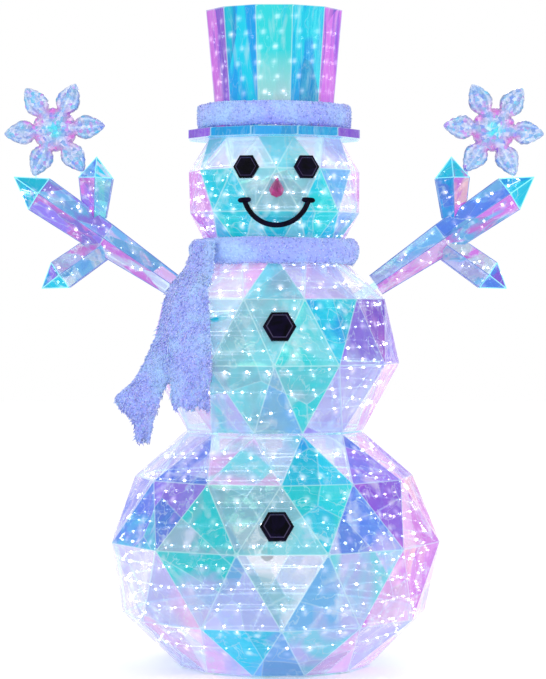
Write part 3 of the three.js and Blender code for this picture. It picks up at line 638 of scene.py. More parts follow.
def wound_lights(body, levels, spacing, seed, *winding):
    """The string of lights wound inside a ball or the hat; winding is what wound_route takes after levels."""
    def flat_out(at, _):
        return Vector((at.x, at.y, 0)).normalized()

    route = wound_route(levels, *winding)
    return light_string(f"{body}_light", body, route, spacing, seed, flat_out, CORD_RADIUS, BULB_SIZES)


base_lights = wound_lights(
    "base", BASE, BALL_SPACING, 1, 0.045, 0.515, 0.047, 135,
    (), [(0.150, 20, 0.512), (0.080, 35, 0.518), (0.023, 45, 0.516)],
)
torso_lights = wound_lights(
    "torso", TORSO, BALL_SPACING, 2, 0.600, 0.930, 0.046, 5,
    [(0.0135, -60, 0.562), (0.070, -50, 0.572), (0.150, -30, 0.582)],
    [(0.090, 25, 0.934), (0.023, 45, 0.934)],
)
head_lights = wound_lights(
    "head", HEAD, HEAD_SPACING, 3, 0.992, 1.176, 0.034, 0,
    [(0.0135, -60, 0.974), (0.090, -40, 0.984)], [(0.080, 40, 1.206), (0.023, 60, 1.206)],
)
hat_lights = wound_lights(
    "hat", HAT_CAGE, HAT_SPACING, 4, 1.262, 1.500, 0.034, 20,
    [(0.0135, -90, 1.240), (0.090, -50, 1.248)],
)


# ---------------------------------------------------------------- film facets
def pale_line(gap, fade=SEAM_FADE):
    """How strongly the pale line of a seam shows at a distance from it."""
    return math.exp(-((gap / fade) ** 2))


class Film(Build):
    """Film facets with their tints, the pale line at their seams, and the glow of near bulbs."""

    def __init__(self, lights, seed, reach=6.5 * MM):
        super().__init__()
        self.lights = KDTree(max(1, len(lights)))
        for i, at in enumerate(lights):
            self.lights.insert(at, i)
        self.lights.balance()
        self.reach = reach
        self.chance = random.Random(seed)
        self.power = [self.chance.uniform(0.35, 1.0) for _ in lights]

    def glow(self, at, normal):
        """How brightly the nearest bulb lights the film at a place: a small spot straight in front of it."""
        if not self.power:
            return 0.0
        spot, index, distance = self.lights.find(at)
        behind = (spot - at).dot(normal)
        aside = max(0.0, distance ** 2 - behind ** 2)
        return math.exp(-aside / self.reach ** 2 - (behind / GLOW_DEPTH) ** 2) * self.power[index]

    def random_key(self):
        """An offset that gives each facet its own crinkles."""
        return Vector([self.chance.uniform(0, 40) for _ in range(3)])

    def triangle(self, a, b, c, tint, accent, billow=3 * MM, grid=FILM_GRID, centre=Vector((0, 0, 0))):
        """A triangle of film, a little slack in its middle and crinkled."""
        normal = (b - a).cross(c - a).normalized()
        if normal.dot((a + b + c) / 3 - centre) < 0:
            b, c, normal = c, b, -normal
        double_area = (b - a).cross(c - a).length
        heights = [double_area / max((q - p).length, 1e-9) for p, q in ((b, c), (c, a), (a, b))]
        sag = self.chance.uniform(-1.0, 0.25) * billow
        key = self.random_key()
        verts = []
        faces = []
        edges = []
        glows = []
        index = {}
        for i in range(grid + 1):
            for j in range(grid + 1 - i):
                u = i / grid
                v = j / grid
                w = 1 - u - v
                at = a * w + b * u + c * v
                gap = min(w * heights[0], u * heights[1], v * heights[2])
                slack = 27 * u * v * w
                hold = min(1.0, gap / HOLD_TO)
                crinkle = noise.noise(at * 26 + key) * 1.8 * MM + noise.noise(at * 70 + key) * 0.7 * MM
                index[(i, j)] = len(verts)
                verts.append(at + normal * (sag * slack + (crinkle - SET_BACK) * hold))
                edges.append(pale_line(gap))
                glows.append(self.glow(at, normal))
        for i in range(grid):
            for j in range(grid - i):
                faces.append((index[(i, j)], index[(i + 1, j)], index[(i, j + 1)]))
                if i + j < grid - 1:
                    faces.append((index[(i + 1, j)], index[(i + 1, j + 1)], index[(i, j + 1)]))
        self.add(verts, faces, tint=tint, accent=accent, edge=edges, glow=glows)

    def panel(self, corners, tint, accent, across, up, billow, centre, seam, foot=None):
        """A four-sided panel of film. Its first side is its foot, where it may fade to another tint."""
        a, b, c, d = corners
        normal = (b - a).cross(d - a).normalized()
        if normal.dot((a + c) / 2 - centre) < 0:
            a, b, c, d, normal = b, a, d, c, -normal
        key = self.random_key()
        wide = (b - a).length
        tall = (d - a).length
        verts = []
        edges = []
        glows = []
        tints = []
        accents = []
        for j in range(up + 1):
            for i in range(across + 1):
                u = i / across
                v = j / up
                at = a.lerp(b, u).lerp(d.lerp(c, u), v)
                gap = min(min(u, 1 - u) * wide, min(v, 1 - v) * tall)
                hold = min(1.0, gap / PANEL_HOLD_TO)
                crinkle = noise.noise(Vector((at.x * 45, at.y * 45, at.z * 9)) + key) * 1.6 * MM
                slack = 16 * u * (1 - u) * v * (1 - v)
                verts.append(at + normal * ((crinkle - SET_BACK) * hold - billow * slack * 0.6))
                edges.append(pale_line(gap, seam))
                glows.append(self.glow(at, normal))
                fade = max(0.0, 1 - v / FOOT_SHARE) ** 0.7 if foot else 0.0
                tints.append(blend(tint, foot or tint, fade))
                accents.append(blend(accent, foot or accent, fade * 0.8))
        corners_at = [j * (across + 1) + i for j in range(up) for i in range(across)]
        faces = [(at, at + 1, at + across + 2, at + across + 1) for at in corners_at]
        self.add(verts, faces, tint=tints, accent=accents, edge=edges, glow=glows)

    def deck(self, level, hole, tint, accent, rows=8):
        """A flat 12-sided sheet with a round hole, at the top or bottom of a skin."""
        count = SIDES * 4
        verts = []
        edges = []
        phase = level["turn"] + (HALF_STEP if level["side"] else 0)
        for j in range(rows + 1):
            for k in range(count):
                angle = phase + 360 * k / count
                off = ((360 * k / count) % STEP) - HALF_STEP
                rim = level["r"] * math.cos(math.radians(HALF_STEP)) / math.cos(math.radians(off))
                r = hole + (rim - hole) * j / rows
                ripple = noise.noise(around(r, angle, level["z"]) * 22) * 0.8 * MM
                held = 0.0 if j in (0, rows) else 1.0
                verts.append(around(r, angle, level["z"] + ripple * held))
                edges.append(pale_line(rim - r))
        faces = turned_over(ring_faces(rows + 1, count))
        self.add(verts, faces, tint=tint, accent=accent, edge=edges, glow=0.0)


def tint_at(text, azimuth, spacing):
    """The tint of a band at an azimuth; the back repeats the front from side to side."""
    azimuth = (azimuth + 180) % 360 - 180
    if azimuth > 90:
        azimuth = 180 - azimuth
    if azimuth < -90:
        azimuth = -180 - azimuth
    return film_tint(text[round((azimuth + 90) / spacing)])


def ball_film(body, levels, bands, lights, seed, holes):
    """A ball's film skin: bands of triangles between its rings, and its two decks."""
    film = Film(lights, seed)
    centre = Vector((0, 0, (levels[0]["z"] + levels[-1]["z"]) / 2))
    for low, high, (main, second) in zip(levels, levels[1:], bands):
        for k in range(2 * SIDES):
            top_has_corner = (k % 2 == 1) == high["side"]
            if top_has_corner:
                points = corner(low, k - 1), corner(low, k + 1), corner(high, k)
            else:
                points = corner(high, k - 1), corner(high, k + 1), corner(low, k)
            azimuth = k * HALF_STEP
            tint, accent = (tint_at(text, azimuth, HALF_STEP) for text in (main, second))
            film.triangle(*points, tint, accent, centre=centre)
    film.deck(levels[0], holes[0], film_tint("l"), film_tint("a"))
    film.deck(levels[-1], holes[1], film_tint("w"), film_tint("a"))
    film.piece(f"{body}_film_facets", body, FILM, replaces=(f"{body}_film",), slot="film")


ball_film("base", BASE, BASE_BANDS, base_lights, 11, (4 * MM, CORE_HOLE))
ball_film("torso", TORSO, TORSO_BANDS, torso_lights, 12, (CORE_HOLE, CORE_HOLE))
ball_film("head", HEAD, HEAD_BANDS, head_lights, 13, (CORE_HOLE, CORE_HOLE))


def hat_wall(film, levels, band, across, up, billow, seam, wide_seams=(), faded=()):
    """The twelve panels between two levels of the hat; some have wide seams and some fade at their foot."""
    foot, top = levels
    middle = Vector((0, 0, (foot["z"] + top["z"]) / 2))
    for k in range(SIDES):
        left = 2 * k - 1
        right = 2 * k + 1
        tint, accent = (tint_at(text, k * STEP, STEP) for text in band)
        corners = corner(foot, left), corner(foot, right), corner(top, right), corner(top, left)
        line = WIDE_SEAM if k in wide_seams else seam
        foot_tint = linear(CROWN_FOOT) if k in faded else None
        film.panel(corners, tint, accent, across, up, billow, middle, line, foot_tint)


crown = Film(hat_lights, 14, 5.2 * MM)
hat_wall(crown, CROWN, CROWN_BAND, 16, 56, 2 * MM, 2.6 * MM, (2, SIDES - 2), (0, SIDES // 2))
crown.deck(CROWN[1], 0.3 * MM, film_tint("c"), film_tint("a"))
crown.piece("hat_crown_panels", "hat", HAT_FILM, replaces=("hat_crown_film",), slot="hat_film")

brim = Film([], 15)
hat_wall(brim, BRIM, BRIM_BAND, 14, 8, 0.5 * MM, 0.4 * MM)
brim.deck(BRIM[0], 60 * MM, film_tint("s"), film_tint("c"))
brim.deck(BRIM[1], 131 * MM, film_tint("s"), film_tint("v"))
brim.piece("hat_brim_panels", "hat", HAT_FILM, replaces=("hat_brim_film",), slot="hat_film")


# ---------------------------------------------------------------- seam wires of the balls
def seam_wires(body, levels):
    """The wires behind the slanted seams, welded to the rings of the cage."""
    build = Build()
    last = len(levels) - 1
    shift = [Vector((0, 0, END_RISE if i == 0 else -END_RISE if i == last else 0.0)) for i in range(last + 1)]
    inset = [END_INSET if i in (0, last) else WIRE_INSET for i in range(last + 1)]
    for j in range(last):
        for k in range(2 * SIDES):
            if (k % 2 == 1) != levels[j]["side"]:
                continue
            foot = corner(levels[j], k, inset[j]) + shift[j]
            for turn in (-1, 1):
                head = corner(levels[j + 1], k + turn, inset[j + 1]) + shift[j + 1]
                tube(build, [foot, head], SEAM_WIRE, 6)
    build.piece(f"{body}_seam_wires", body, WIRE, slot="wire")


seam_wires("base", BASE)
seam_wires("torso", TORSO)
seam_wires("head", HEAD)


# ---------------------------------------------------------------- crystal arms
ARM = {"root": (0.224, 0.876), "rise": ARM_RISE, "rings": [(0.017, 0.030), (0.209, 0.043), (0.393, 0.050)],
       "tip": 0.466}
THUMB = {"root": (0.421, 1.005), "rise": 91.8, "rings": [(0.0, 0.024), (0.131, 0.045)], "tip": 0.181}
FINGER = {"root": (0.402, 0.978), "rise": -35.3, "rings": [(0.0, 0.038), (0.120, 0.041)], "tip": 0.174}
# Main and second colours of the six long facets, band by band, then of the six facets of the tip.
ARM_COLOURS = {
    "left_forearm": (("sslbvm", "pmwspw"), ("vssbvv", "sspcpm"), ("cckkbk", "kcccbc")),
    "left_thumb": (("aslbvm", "swapmv"), ("cacsps", "wsabcb")),
    "left_finger": (("lwlsls", "mpaaww"), ("kbsscc", "vsbcac")),
    "right_forearm": (("ssbbpp", "lmapwm"), ("bsbbvm", "sspcps"), ("cckkcc", "kcccbc")),
    "right_thumb": (("kksovm", "bcabpo"), ("ctccmc", "kcaopm")),
    "right_finger": (("mlsvps", "waalwl"), ("ubccvb", "bsccps")),
}


def arm_line(side, t, spec):
    """A place on a crystal's axis, t metres from its root."""
    rise = math.radians(spec["rise"])
    return Vector((side * (spec["root"][0] + t * math.cos(rise)), 0, spec["root"][1] + t * math.sin(rise)))


def arm_frame(side, spec):
    """A crystal's axis, and its upward direction square to the axis."""
    axis = (arm_line(side, 1, spec) - arm_line(side, 0, spec)).normalized()
    return axis, axis.cross(FRONT).normalized()


def sleeve_ring(side, spec, t, r):
    """The corners of a crystal's hexagon; the first faces the front, and they go round towards up."""
    up = arm_frame(side, spec)[1]
    centre = arm_line(side, t, spec)
    return [centre + spoke(FRONT, up, i, 6) * r for i in range(6)]


class Crystal(Film):
    """A crystal's film facets; those that start inside another crystal are cut off at its surface."""

    def __init__(self, lights, seed, axis, planes):
        super().__init__(lights, seed, 4.5 * MM)
        self.axis = axis
        self.planes = planes

    def add(self, verts, faces, **values):
        if self.planes:
            inside = [self.depth(v) > 0 for v in verts]
            verts = [self.pull_out(v) if hidden else v for v, hidden in zip(verts, inside)]
            faces = [face for face in faces if not all(inside[i] for i in face)]
        super().add(verts, faces, **values)

    def depth(self, at):
        """How far a place is inside the other crystal."""
        return min(normal.dot(point - at) for point, normal in self.planes)

    def pull_out(self, at):
        """The place where the line along the crystal's axis leaves the other crystal."""
        travel = [
            normal.dot(point - at) / normal.dot(self.axis)
            for point, normal in self.planes
            if normal.dot(self.axis) > 1e-6
        ]
        return at + self.axis * min(travel)


def crystal_faces(side, spec):
    """The long facets of a crystal, ring by ring, and the triangles of its tip."""
    rings = [sleeve_ring(side, spec, t, r) for t, r in spec["rings"]]
    tip = arm_line(side, spec["tip"], spec)
    bands = [
        [(low[i], low[(i + 1) % 6], high[(i + 1) % 6], high[i]) for i in range(6)]
        for low, high in zip(rings, rings[1:])
    ]
    return bands, [(rings[-1][i], rings[-1][(i + 1) % 6], tip) for i in range(6)]


def crystal_planes(side, spec):
    """A point and the outward normal of each facet."""
    centre = arm_line(side, spec["rings"][1][0] / 2, spec)
    planes = []
    bands, tips = crystal_faces(side, spec)
    for face in sum(bands, []) + tips:
        normal = (face[1] - face[0]).cross(face[2] - face[0]).normalized()
        if normal.dot(face[0] - centre) < 0:
            normal = -normal
        planes.append((face[0], normal))
    return planes


def facet_tints(side, texts, i):
    """A facet's two tints; the letters run the other way round on the right."""
    place = i if side < 0 else 5 - i
    return [film_tint(text[place]) for text in texts]


def build_crystal(where, side, part, spec, lights, seed, trim):
    """The film of one crystal; trim holds the planes of the crystal that it grows from, if any."""
    axis = arm_frame(side, spec)[0]
    film = Crystal(lights, seed, axis, trim)
    bands, tips = crystal_faces(side, spec)
    *long_colours, tip_colours = ARM_COLOURS[f"{where}_{part}"]
    centre = arm_line(side, spec["rings"][-1][0], spec)
    for band, texts in zip(bands, long_colours):
        for i, face in enumerate(band):
            near_axis = centre + axis * ((face[0] + face[2]) / 2 - centre).dot(axis)
            film.panel(face, *facet_tints(side, texts, i), 9, 32, 1.2 * MM, near_axis, 2.2 * MM)
    for i, face in enumerate(tips):
        film.triangle(*face, *facet_tints(side, tip_colours, i), 1 * MM, 12, centre)
    if not trim:
        root_ring = sleeve_ring(side, spec, *spec["rings"][0])
        root = arm_line(side, spec["rings"][0][0], spec)
        tints = film_tint("l"), film_tint("w")
        for i in range(6):
            film.triangle(root_ring[i], root_ring[(i + 1) % 6], root, *tints, 0.0, 8, centre)
    film.piece(f"{where}_{part}_facets", f"{where}_arm", ARM_FILMS[side], replaces=(f"{where}_{part}_film",),
               slot="film")


def edge_beads(where, side, specs):
    """The welded edges of the crystals: thin beads, bright at the tips; on the sleeves their blue-grey is
    painted shade, as film looks darker seen edge-on.
    """
    build = Build()
    # Painted shade: the sleeves' edges are blue-grey because film looks darker seen edge-on.
    dark = linear((0.28, 0.40, 0.72))
    bright = linear((0.50, 0.97, 1.0))
    for spec, planes in specs:
        rings = [sleeve_ring(side, spec, t, r) for t, r in spec["rings"]]
        tip = arm_line(side, spec["tip"], spec)
        lines = [(low[i], high[i], dark) for low, high in zip(rings, rings[1:]) for i in range(6)]
        lines += [(rings[-1][i], rings[-1][(i + 1) % 6], bright) for i in range(6)]
        lines += [(rings[-1][i], tip, bright) for i in range(6)]
        for a, b, colour in lines:
            steps = [a.lerp(b, s / 24) for s in range(25)]
            if planes:
                steps = [p for p in steps if min(n.dot(q - p) for q, n in planes) < 0]
            tube(build, steps, 0.9 * MM, 6, tint=colour)
    build.piece(f"{where}_arm_edges", f"{where}_arm", EDGE, slot="film")


def arm_lights(where, side, seed):
    """The arm's cord winds inside the forearm, with a loop into the thumb and one into the low finger."""
    def place(spec, t, r, angle):
        up = arm_frame(side, spec)[1]
        return arm_line(side, t, spec) + spoke(FRONT, up, angle, 360) * r

    def across(_, along):
        return along.cross(FRONT).cross(along).normalized()

    route = [place(ARM, 0.063, 0.0054, 2)]
    turns = 26
    for i in range(turns + 1):
        t = 0.066 + 0.366 * i / turns
        route.append(place(ARM, t, 0.018 + 0.016 * min(1, t / 0.3), 62 + 66 * i))
    steps = 9
    for spec, reach in ((THUMB, 0.150), (FINGER, 0.145)):
        route.extend(place(spec, 0.05 + (reach - 0.05) * i / steps, 0.022, 70 * i) for i in range(steps + 1))
        route.append(place(spec, 0.05, 0.008, 0))
    return light_string(f"{where}_arm_light", f"{where}_arm", route, ARM_SPACING, seed, across,
                        ARM_CORD_RADIUS, ARM_BULB_SIZES, holders=False)


# ---------------------------------------------------------------- snowflakes
FLAKE_CENTRE = Vector((0.514, 0, 1.249))
FLAKE_TURN = 5
FLAKE_DEEP = 14.5 * MM
HUB_RADIUS = 49 * MM
BEAD_RADIUS = 13 * MM
BEAD_AT = 40 * MM
HUB_TINT_TO = 22 * MM
NOTCH_AT = 50 * MM
NOTCH_REACH = 24 * MM
PETAL_FROM = 48 * MM
FACETED_TO = 98 * MM  # the tips beyond this stay smooth for the pins
PIN_AT = 107 * MM
PIN_RADIUS = 2.6 * MM
COLLAR_RADIUS = 6 * MM
SLOT_RADIUS = 16 * MM
SLOT_HALF = 4 * MM  # half the slot's width along the pin
# A petal's half width along it, from the hub to its rounded tip.
PETAL = [
    (0.012, 0.015), (0.046, 0.0150), (0.058, 0.0245), (0.068, 0.0292), (0.080, 0.0282), (0.096, 0.0205),
    (0.108, 0.0125), (0.115, 0.0070), (0.1180, 0.0025),
]
# Painted shade and painted highlights: how dark, and how pale, a petal is from its middle line (0) to its
# edge (1), as light in clear plastic.
RIM_SHADE_LINES = [(0.0, 0.0), (0.30, 0.0), (0.42, 0.30), (0.54, 0.0), (0.76, 0.0), (0.95, 0.75), (1.0, 0.9)]
PALE_HIGHLIGHT_LINES = [(0.0, 0.5), (0.14, 0.0), (0.50, 0.0), (0.64, 0.6), (0.78, 0.0)]
HUB_TINT = Vector(linear((0.15, 0.88, 0.94)))
PETAL_TINT = Vector(linear((0.52, 0.70, 0.92)))
NOTCH_TINT = Vector(linear((0.84, 0.40, 0.82)))
# The outline colour is painted shade and the pale colour is painted highlight.
PAINTED_OUTLINE_SHADE = Vector(linear((0.20, 0.32, 0.58)))
PAINTED_PALE_HIGHLIGHT = Vector(linear((0.88, 0.96, 1.0)))


def clamped(share):
    """A share kept within 0 to 1."""
    return max(0.0, min(1.0, share))


def smooth_value(table, at):
    """A smooth curve through a table of (place, value)."""
    for (a, low), (b, high) in zip(table, table[1:]):
        if at <= b:
            break
    share = clamped((at - a) / (b - a))
    return low + (high - low) * share * share * (3 - 2 * share)


def petal(build, centre, along, across):
    """One puffy petal, lofted through rounded sections."""
    steps = 26
    sides = 18
    first = PETAL[0][0]
    last = PETAL[-1][0]
    verts = []
    for i in range(steps + 1):
        u = first + (last - first) * i / steps
        half = smooth_value(PETAL, u)
        deep = FLAKE_DEEP * min(1.0, 0.25 + half / 0.018)
        for k in range(sides):
            c = math.cos(2 * math.pi * k / sides)
            s = math.sin(2 * math.pi * k / sides)
            wide = half * math.copysign(abs(c) ** 0.8, c)
            tall = deep * math.copysign(abs(s) ** 0.7, s)
            verts.append(centre + along * u + across * wide + FRONT * tall)
    build.add(verts, capped_faces(steps + 1, sides))


def dome(build, centre, r, deep, sides, rows):
    """A flattened ball, for the hub and its beads."""
    turns = [math.pi * j / rows for j in range(rows + 1)]
    points = [centre - FRONT * (deep * math.cos(a)) for a in turns]
    tube(build, points, [r * math.sin(a) + 1e-5 for a in turns], sides)


def flake_blank(name, body, centre, ray):
    """A smooth snowflake: six petals, the hub and a bead in each notch, made one closed surface."""
    build = Build()
    for i in range(6):
        along = ray(FLAKE_TURN + 60 * i)
        petal(build, centre, along, along.cross(FRONT))
    dome(build, centre, HUB_RADIUS, FLAKE_DEEP, 30, 8)
    for i in range(6):
        dome(build, centre + ray(FLAKE_TURN + 30 + 60 * i) * BEAD_AT, BEAD_RADIUS, FLAKE_DEEP * 0.95, 16, 6)
    flake = build.piece(f"{name}_body", body, FLAKE, replaces=(name,), slot="snowflake")
    made = flake.modifiers.new("remesh", "REMESH")
    made.mode = "VOXEL"
    made.voxel_size = 1.7 * MM
    made.use_smooth_shade = True
    return flake


def snowflake(where, side, seed):
    """A snowflake with slots in two of its tips, and the pins with collars that hold it there."""
    centre = Vector((side * FLAKE_CENTRE.x, 0, FLAKE_CENTRE.z))
    name = f"{where}_snowflake"
    body = f"{where}_flake"

    def ray(angle):
        a = math.radians(angle)
        return Vector((-side * math.cos(a), 0, math.sin(a)))

    flake = flake_blank(name, body, centre, ray)
    ends = [centre + ray(angle + FLAKE_TURN) * PIN_AT for angle in (240, 300)]
    along = (ends[1] - ends[0]).normalized()
    cutter = Build()
    for at in ends:
        tube(cutter, [at - along * SLOT_HALF, at + along * SLOT_HALF], SLOT_RADIUS, 24)
    slots = cutter.piece(f"{name}_slots", body, FLAKE)
    cut = flake.modifiers.new("slots", "BOOLEAN")
    cut.operation = "DIFFERENCE"
    cut.solver = "EXACT"
    cut.object = slots
    apply_modifiers(flake)
    bpy.data.objects.remove(slots)
    facet_flake(flake.data, centre, seed)
    tint_flake(flake.data, centre, side)
    pins = Build()
    pin_radii = [PIN_RADIUS - 0.4 * MM, PIN_RADIUS, PIN_RADIUS, PIN_RADIUS - 0.4 * MM]
    collar_radii = [COLLAR_RADIUS, COLLAR_RADIUS, COLLAR_RADIUS - 1 * MM]
    for at in ends:
        tube(pins, [at + along * reach * MM for reach in (-6, -5.6, 5.6, 6)], pin_radii, 16)
        for way in (-1, 1):
            places = [at + along * (way * (SLOT_HALF + reach * MM)) for reach in (0, 2.2, 3)]
            tube(pins, places, collar_radii, 16)
    pins.piece(f"{name}_pins", body, WHITE_PLASTIC, slot="snowflake")


def apply_modifiers(obj):
    """Replaces the object's mesh with what its modifiers make of it."""
    bpy.context.view_layer.update()
    graph = bpy.context.evaluated_depsgraph_get()
    mesh = bpy.data.meshes.new_from_object(obj.evaluated_get(graph))
    obj.modifiers.clear()
    old = obj.data
    obj.data = mesh
    bpy.data.meshes.remove(old)


def facet_flake(mesh, centre, seed):
    """Presses crystal facets into a snowflake."""
    key = Vector((seed * 3.1, seed * 1.7, 0.3))
    moves = []
    for vert in mesh.vertices:
        at = vert.co - centre
        near, next_near = noise.voronoi((vert.co + key) * 75)[0][:2]
        lift = (next_near - near) * 1.4 - 0.5
        moves.append(vert.normal * lift * 1.3 * MM if math.hypot(at.x, at.z) < FACETED_TO else Vector())
    for vert, move in zip(mesh.vertices, moves):
        vert.co += move


def tint_flake(mesh, centre, side):
    """Tints a snowflake from its hub outwards, with painted shade on its rims and side walls and painted
    highlights in pale lines on the petals.
    """
    shades = []
    for vert in mesh.vertices:
        at = vert.co - centre
        r = math.hypot(at.x, at.z)
        angle = math.degrees(math.atan2(at.z, -side * at.x)) - FLAKE_TURN
        off = ((angle + 30) % 60) - 30
        along = r * math.cos(math.radians(off))
        across = abs(r * math.sin(math.radians(off))) / smooth_value(PETAL, along)
        notch = max(0.0, 1 - abs(r - NOTCH_AT) / NOTCH_REACH) * abs(off) / 30
        on_petal = clamped((along - PETAL_FROM) / (10 * MM))
        # Painted shade on the side walls, darker the more they face sideways.
        wall_shade = clamped(0.9 - abs(vert.normal.y) * 1.3)
        shade = PETAL_TINT.lerp(NOTCH_TINT, min(1.0, notch * 1.8))
        shade = shade.lerp(HUB_TINT, clamped((HUB_TINT_TO - r) / (8 * MM)))
        shade = shade.lerp(PAINTED_PALE_HIGHLIGHT, smooth_value(PALE_HIGHLIGHT_LINES, across) * on_petal)
        shades.extend(shade.lerp(PAINTED_OUTLINE_SHADE, max(smooth_value(RIM_SHADE_LINES, across) * on_petal, wall_shade)))
    layer = mesh.attributes.new("tint", "FLOAT_COLOR", "POINT")
    layer.data.foreach_set("color", shades)
    mesh.polygons.foreach_set("use_smooth", [True] * len(mesh.polygons))


for seed, (where, side) in enumerate((("left", -1), ("right", 1))):
    planes = crystal_planes(side, ARM)
    lights = arm_lights(where, side, 21 + seed)
    crystals = {"forearm": (ARM, []), "thumb": (THUMB, planes), "finger": (FINGER, planes)}
    for part, (spec, trim) in crystals.items():
        build_crystal(where, side, part, spec, lights, 31 + seed, trim)
    edge_beads(where, side, list(crystals.values()))
    snowflake(where, side, 41 + seed)


# ---------------------------------------------------------------- plush scarf and hat band
FIBRE_TINTS = [
    (0.58, 0.64, 0.94), (0.66, 0.72, 0.97), (0.46, 0.52, 0.86), (0.76, 0.80, 0.99), (0.62, 0.78, 0.96),
    (0.70, 0.68, 0.95), (0.48, 0.53, 0.86),
]
FIBRE_SIDES = 3
FIBRE_FACES = [(0, 1, 4, 3), (1, 2, 5, 4), (2, 0, 3, 5), (3, 4, 6), (4, 5, 6), (5, 3, 6), (2, 1, 0)]
BAND_CLOTH = 9 * MM
TAIL_CLOTH = 6.5 * MM
BAND_DROOP = Vector((0, 0, -0.4))
TAIL_DROOP = Vector((0, 0, -0.9))


def place_on(corners, chance):
    """A random place on a quad, or the middle of another face."""
    a = chance.random()
    b = chance.random()
    if len(corners) == 4:
        return corners[0].lerp(corners[1], a).lerp(corners[3].lerp(corners[2], a), b)
    return sum(corners, Vector()) / len(corners)


def pile(name, body, cloth, count, length, droop, seed):
    """Short tufts all over a piece of plush: bent three-sided fibres, each of its own shade."""
    chance = random.Random(seed)
    mesh = cloth.data
    faces = list(mesh.polygons)
    build = Build()
    for face in chance.choices(faces, [face.area for face in faces], k=count):
        at = place_on([mesh.vertices[i].co for i in face.vertices], chance)
        lean = Vector([chance.gauss(0, 0.35) for _ in range(3)])
        out = (face.normal + lean + droop * 0.5).normalized()
        hang = (face.normal * 0.35 + lean + droop).normalized()
        tall = length * chance.uniform(0.6, 1.3)
        thick = chance.uniform(1.2, 2.4) * MM
        middle = at + out * tall * 0.55
        side, up = frame_along(out)
        verts = []
        for spot, r in ((at - out * 1 * MM, thick), (middle, thick * 0.9)):
            verts.extend(spot + spoke(side, up, k, FIBRE_SIDES) * r for k in range(FIBRE_SIDES))
        verts.append(middle + hang * tall * 0.6)
        build.add(verts, FIBRE_FACES, tint=linear(chance.choice(FIBRE_TINTS)))
    return build.piece(name, body, PLUSH, slot="plush")


def plush_cloth(node_name, body, verts, faces, seed, pile_spec):
    """A plush sheet in place of a CAD node, with its pile."""
    build = Build()
    build.add(verts, faces, tint=linear(FIBRE_TINTS[0]))
    name = node_name + "_cloth"
    cloth = build.piece(name, body, PLUSH, replaces=(node_name,), slot="plush")
    fur = pile(name + "_pile", body, cloth, *pile_spec, seed)


def plush_ring(node_name, body, profile, seed, ribs):
    """A band of plush round the neck or the hat: a closed profile, outside first, with soft ribs."""
    low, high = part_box(node_name)
    spare = 4 * MM
    steps = 150
    verts = []
    for k in range(steps):
        a = 360 * k / steps
        rib = math.sin(math.radians(a * ribs)) * 0.9 * MM
        for r, z in profile:
            spot = around(r, a, z)
            fluff = noise.noise(spot * 38) * 3.2 * MM + noise.noise(spot * 110) * 1.4 * MM
            wave = noise.noise(around(1.0, a, z * 4) * 2.1) * 4 * MM
            height = min(high.z + spare, max(low.z - spare, z + wave))
            verts.append(around(r + fluff * 0.6 + rib, a, height))
    faces = ring_faces(steps, len(profile), closed=True)
    plush_cloth(node_name, body, verts, faces, seed, (7000, 9 * MM, BAND_DROOP))


def band_profile(points):
    """A closed section of cloth: the outer points, then the same points moved in by its thickness."""
    outer = [Vector((r, z)) for r, z in points]
    inside = []
    for i, at in enumerate(outer):
        along = outer[min(i + 1, len(outer) - 1)] - outer[max(i - 1, 0)]
        inside.append(at - Vector((along.y, -along.x)).normalized() * BAND_CLOTH)
    return [(p.x, p.y) for p in outer + inside[::-1]]


WRAP_POINTS = [
    (0.180, 0.934), (0.189, 0.938), (0.195, 0.947), (0.198, 0.960), (0.198, 0.972), (0.194, 0.983),
    (0.186, 0.991), (0.175, 0.993), (0.166, 0.986),
]
BAND_POINTS = [
    (0.174, 1.2495), (0.1775, 1.256), (0.179, 1.268), (0.1795, 1.282), (0.179, 1.294), (0.1765, 1.3035),
]
plush_ring("scarf_wrap", "torso", band_profile(WRAP_POINTS), 51, 36)
plush_ring("hat_band", "hat", band_profile(BAND_POINTS), 52, 44)

# A tail's sections from the wrap down: x, y, z, width in metres and the turn about Z.
FRONT_TAIL = [
    (-0.160, -0.136, 0.988, 0.080, 50), (-0.164, -0.139, 0.950, 0.084, 49),
    (-0.170, -0.154, 0.915, 0.086, 45), (-0.187, -0.190, 0.872, 0.094, 40),
    (-0.193, -0.224, 0.795, 0.108, 30), (-0.190, -0.243, 0.712, 0.112, 28),
    (-0.189, -0.244, 0.658, 0.104, 28), (-0.188, -0.243, 0.610, 0.100, 28),
]
REAR_TAIL = [
    (-0.186, -0.086, 0.955, 0.040, 66), (-0.196, -0.092, 0.925, 0.046, 66),
    (-0.230, -0.124, 0.870, 0.066, 64), (-0.238, -0.146, 0.795, 0.084, 56),
    (-0.258, -0.168, 0.715, 0.092, 38), (-0.281, -0.172, 0.665, 0.096, 26),
    (-0.308, -0.174, 0.632, 0.112, 20), (-0.310, -0.174, 0.608, 0.102, 20),
    (-0.298, -0.175, 0.578, 0.060, 20), (-0.296, -0.176, 0.530, 0.034, 20),
]
HEM_SHARE = 0.14  # of a tail's length, where its end is ragged


def between(sections, share):
    """A smooth section at a share of the tail's length (Catmull-Rom through the given ones)."""
    spot = share * (len(sections) - 1)
    i = min(int(spot), len(sections) - 2)
    t = spot - i
    four = [sections[max(0, min(len(sections) - 1, j))] for j in (i - 1, i, i + 1, i + 2)]
    return [
        0.5 * (2 * b + (c - a) * t + (2 * a - 5 * b + 4 * c - d) * t * t + (3 * b - a - 3 * c + d) * t ** 3)
        for a, b, c, d in zip(*four)
    ]


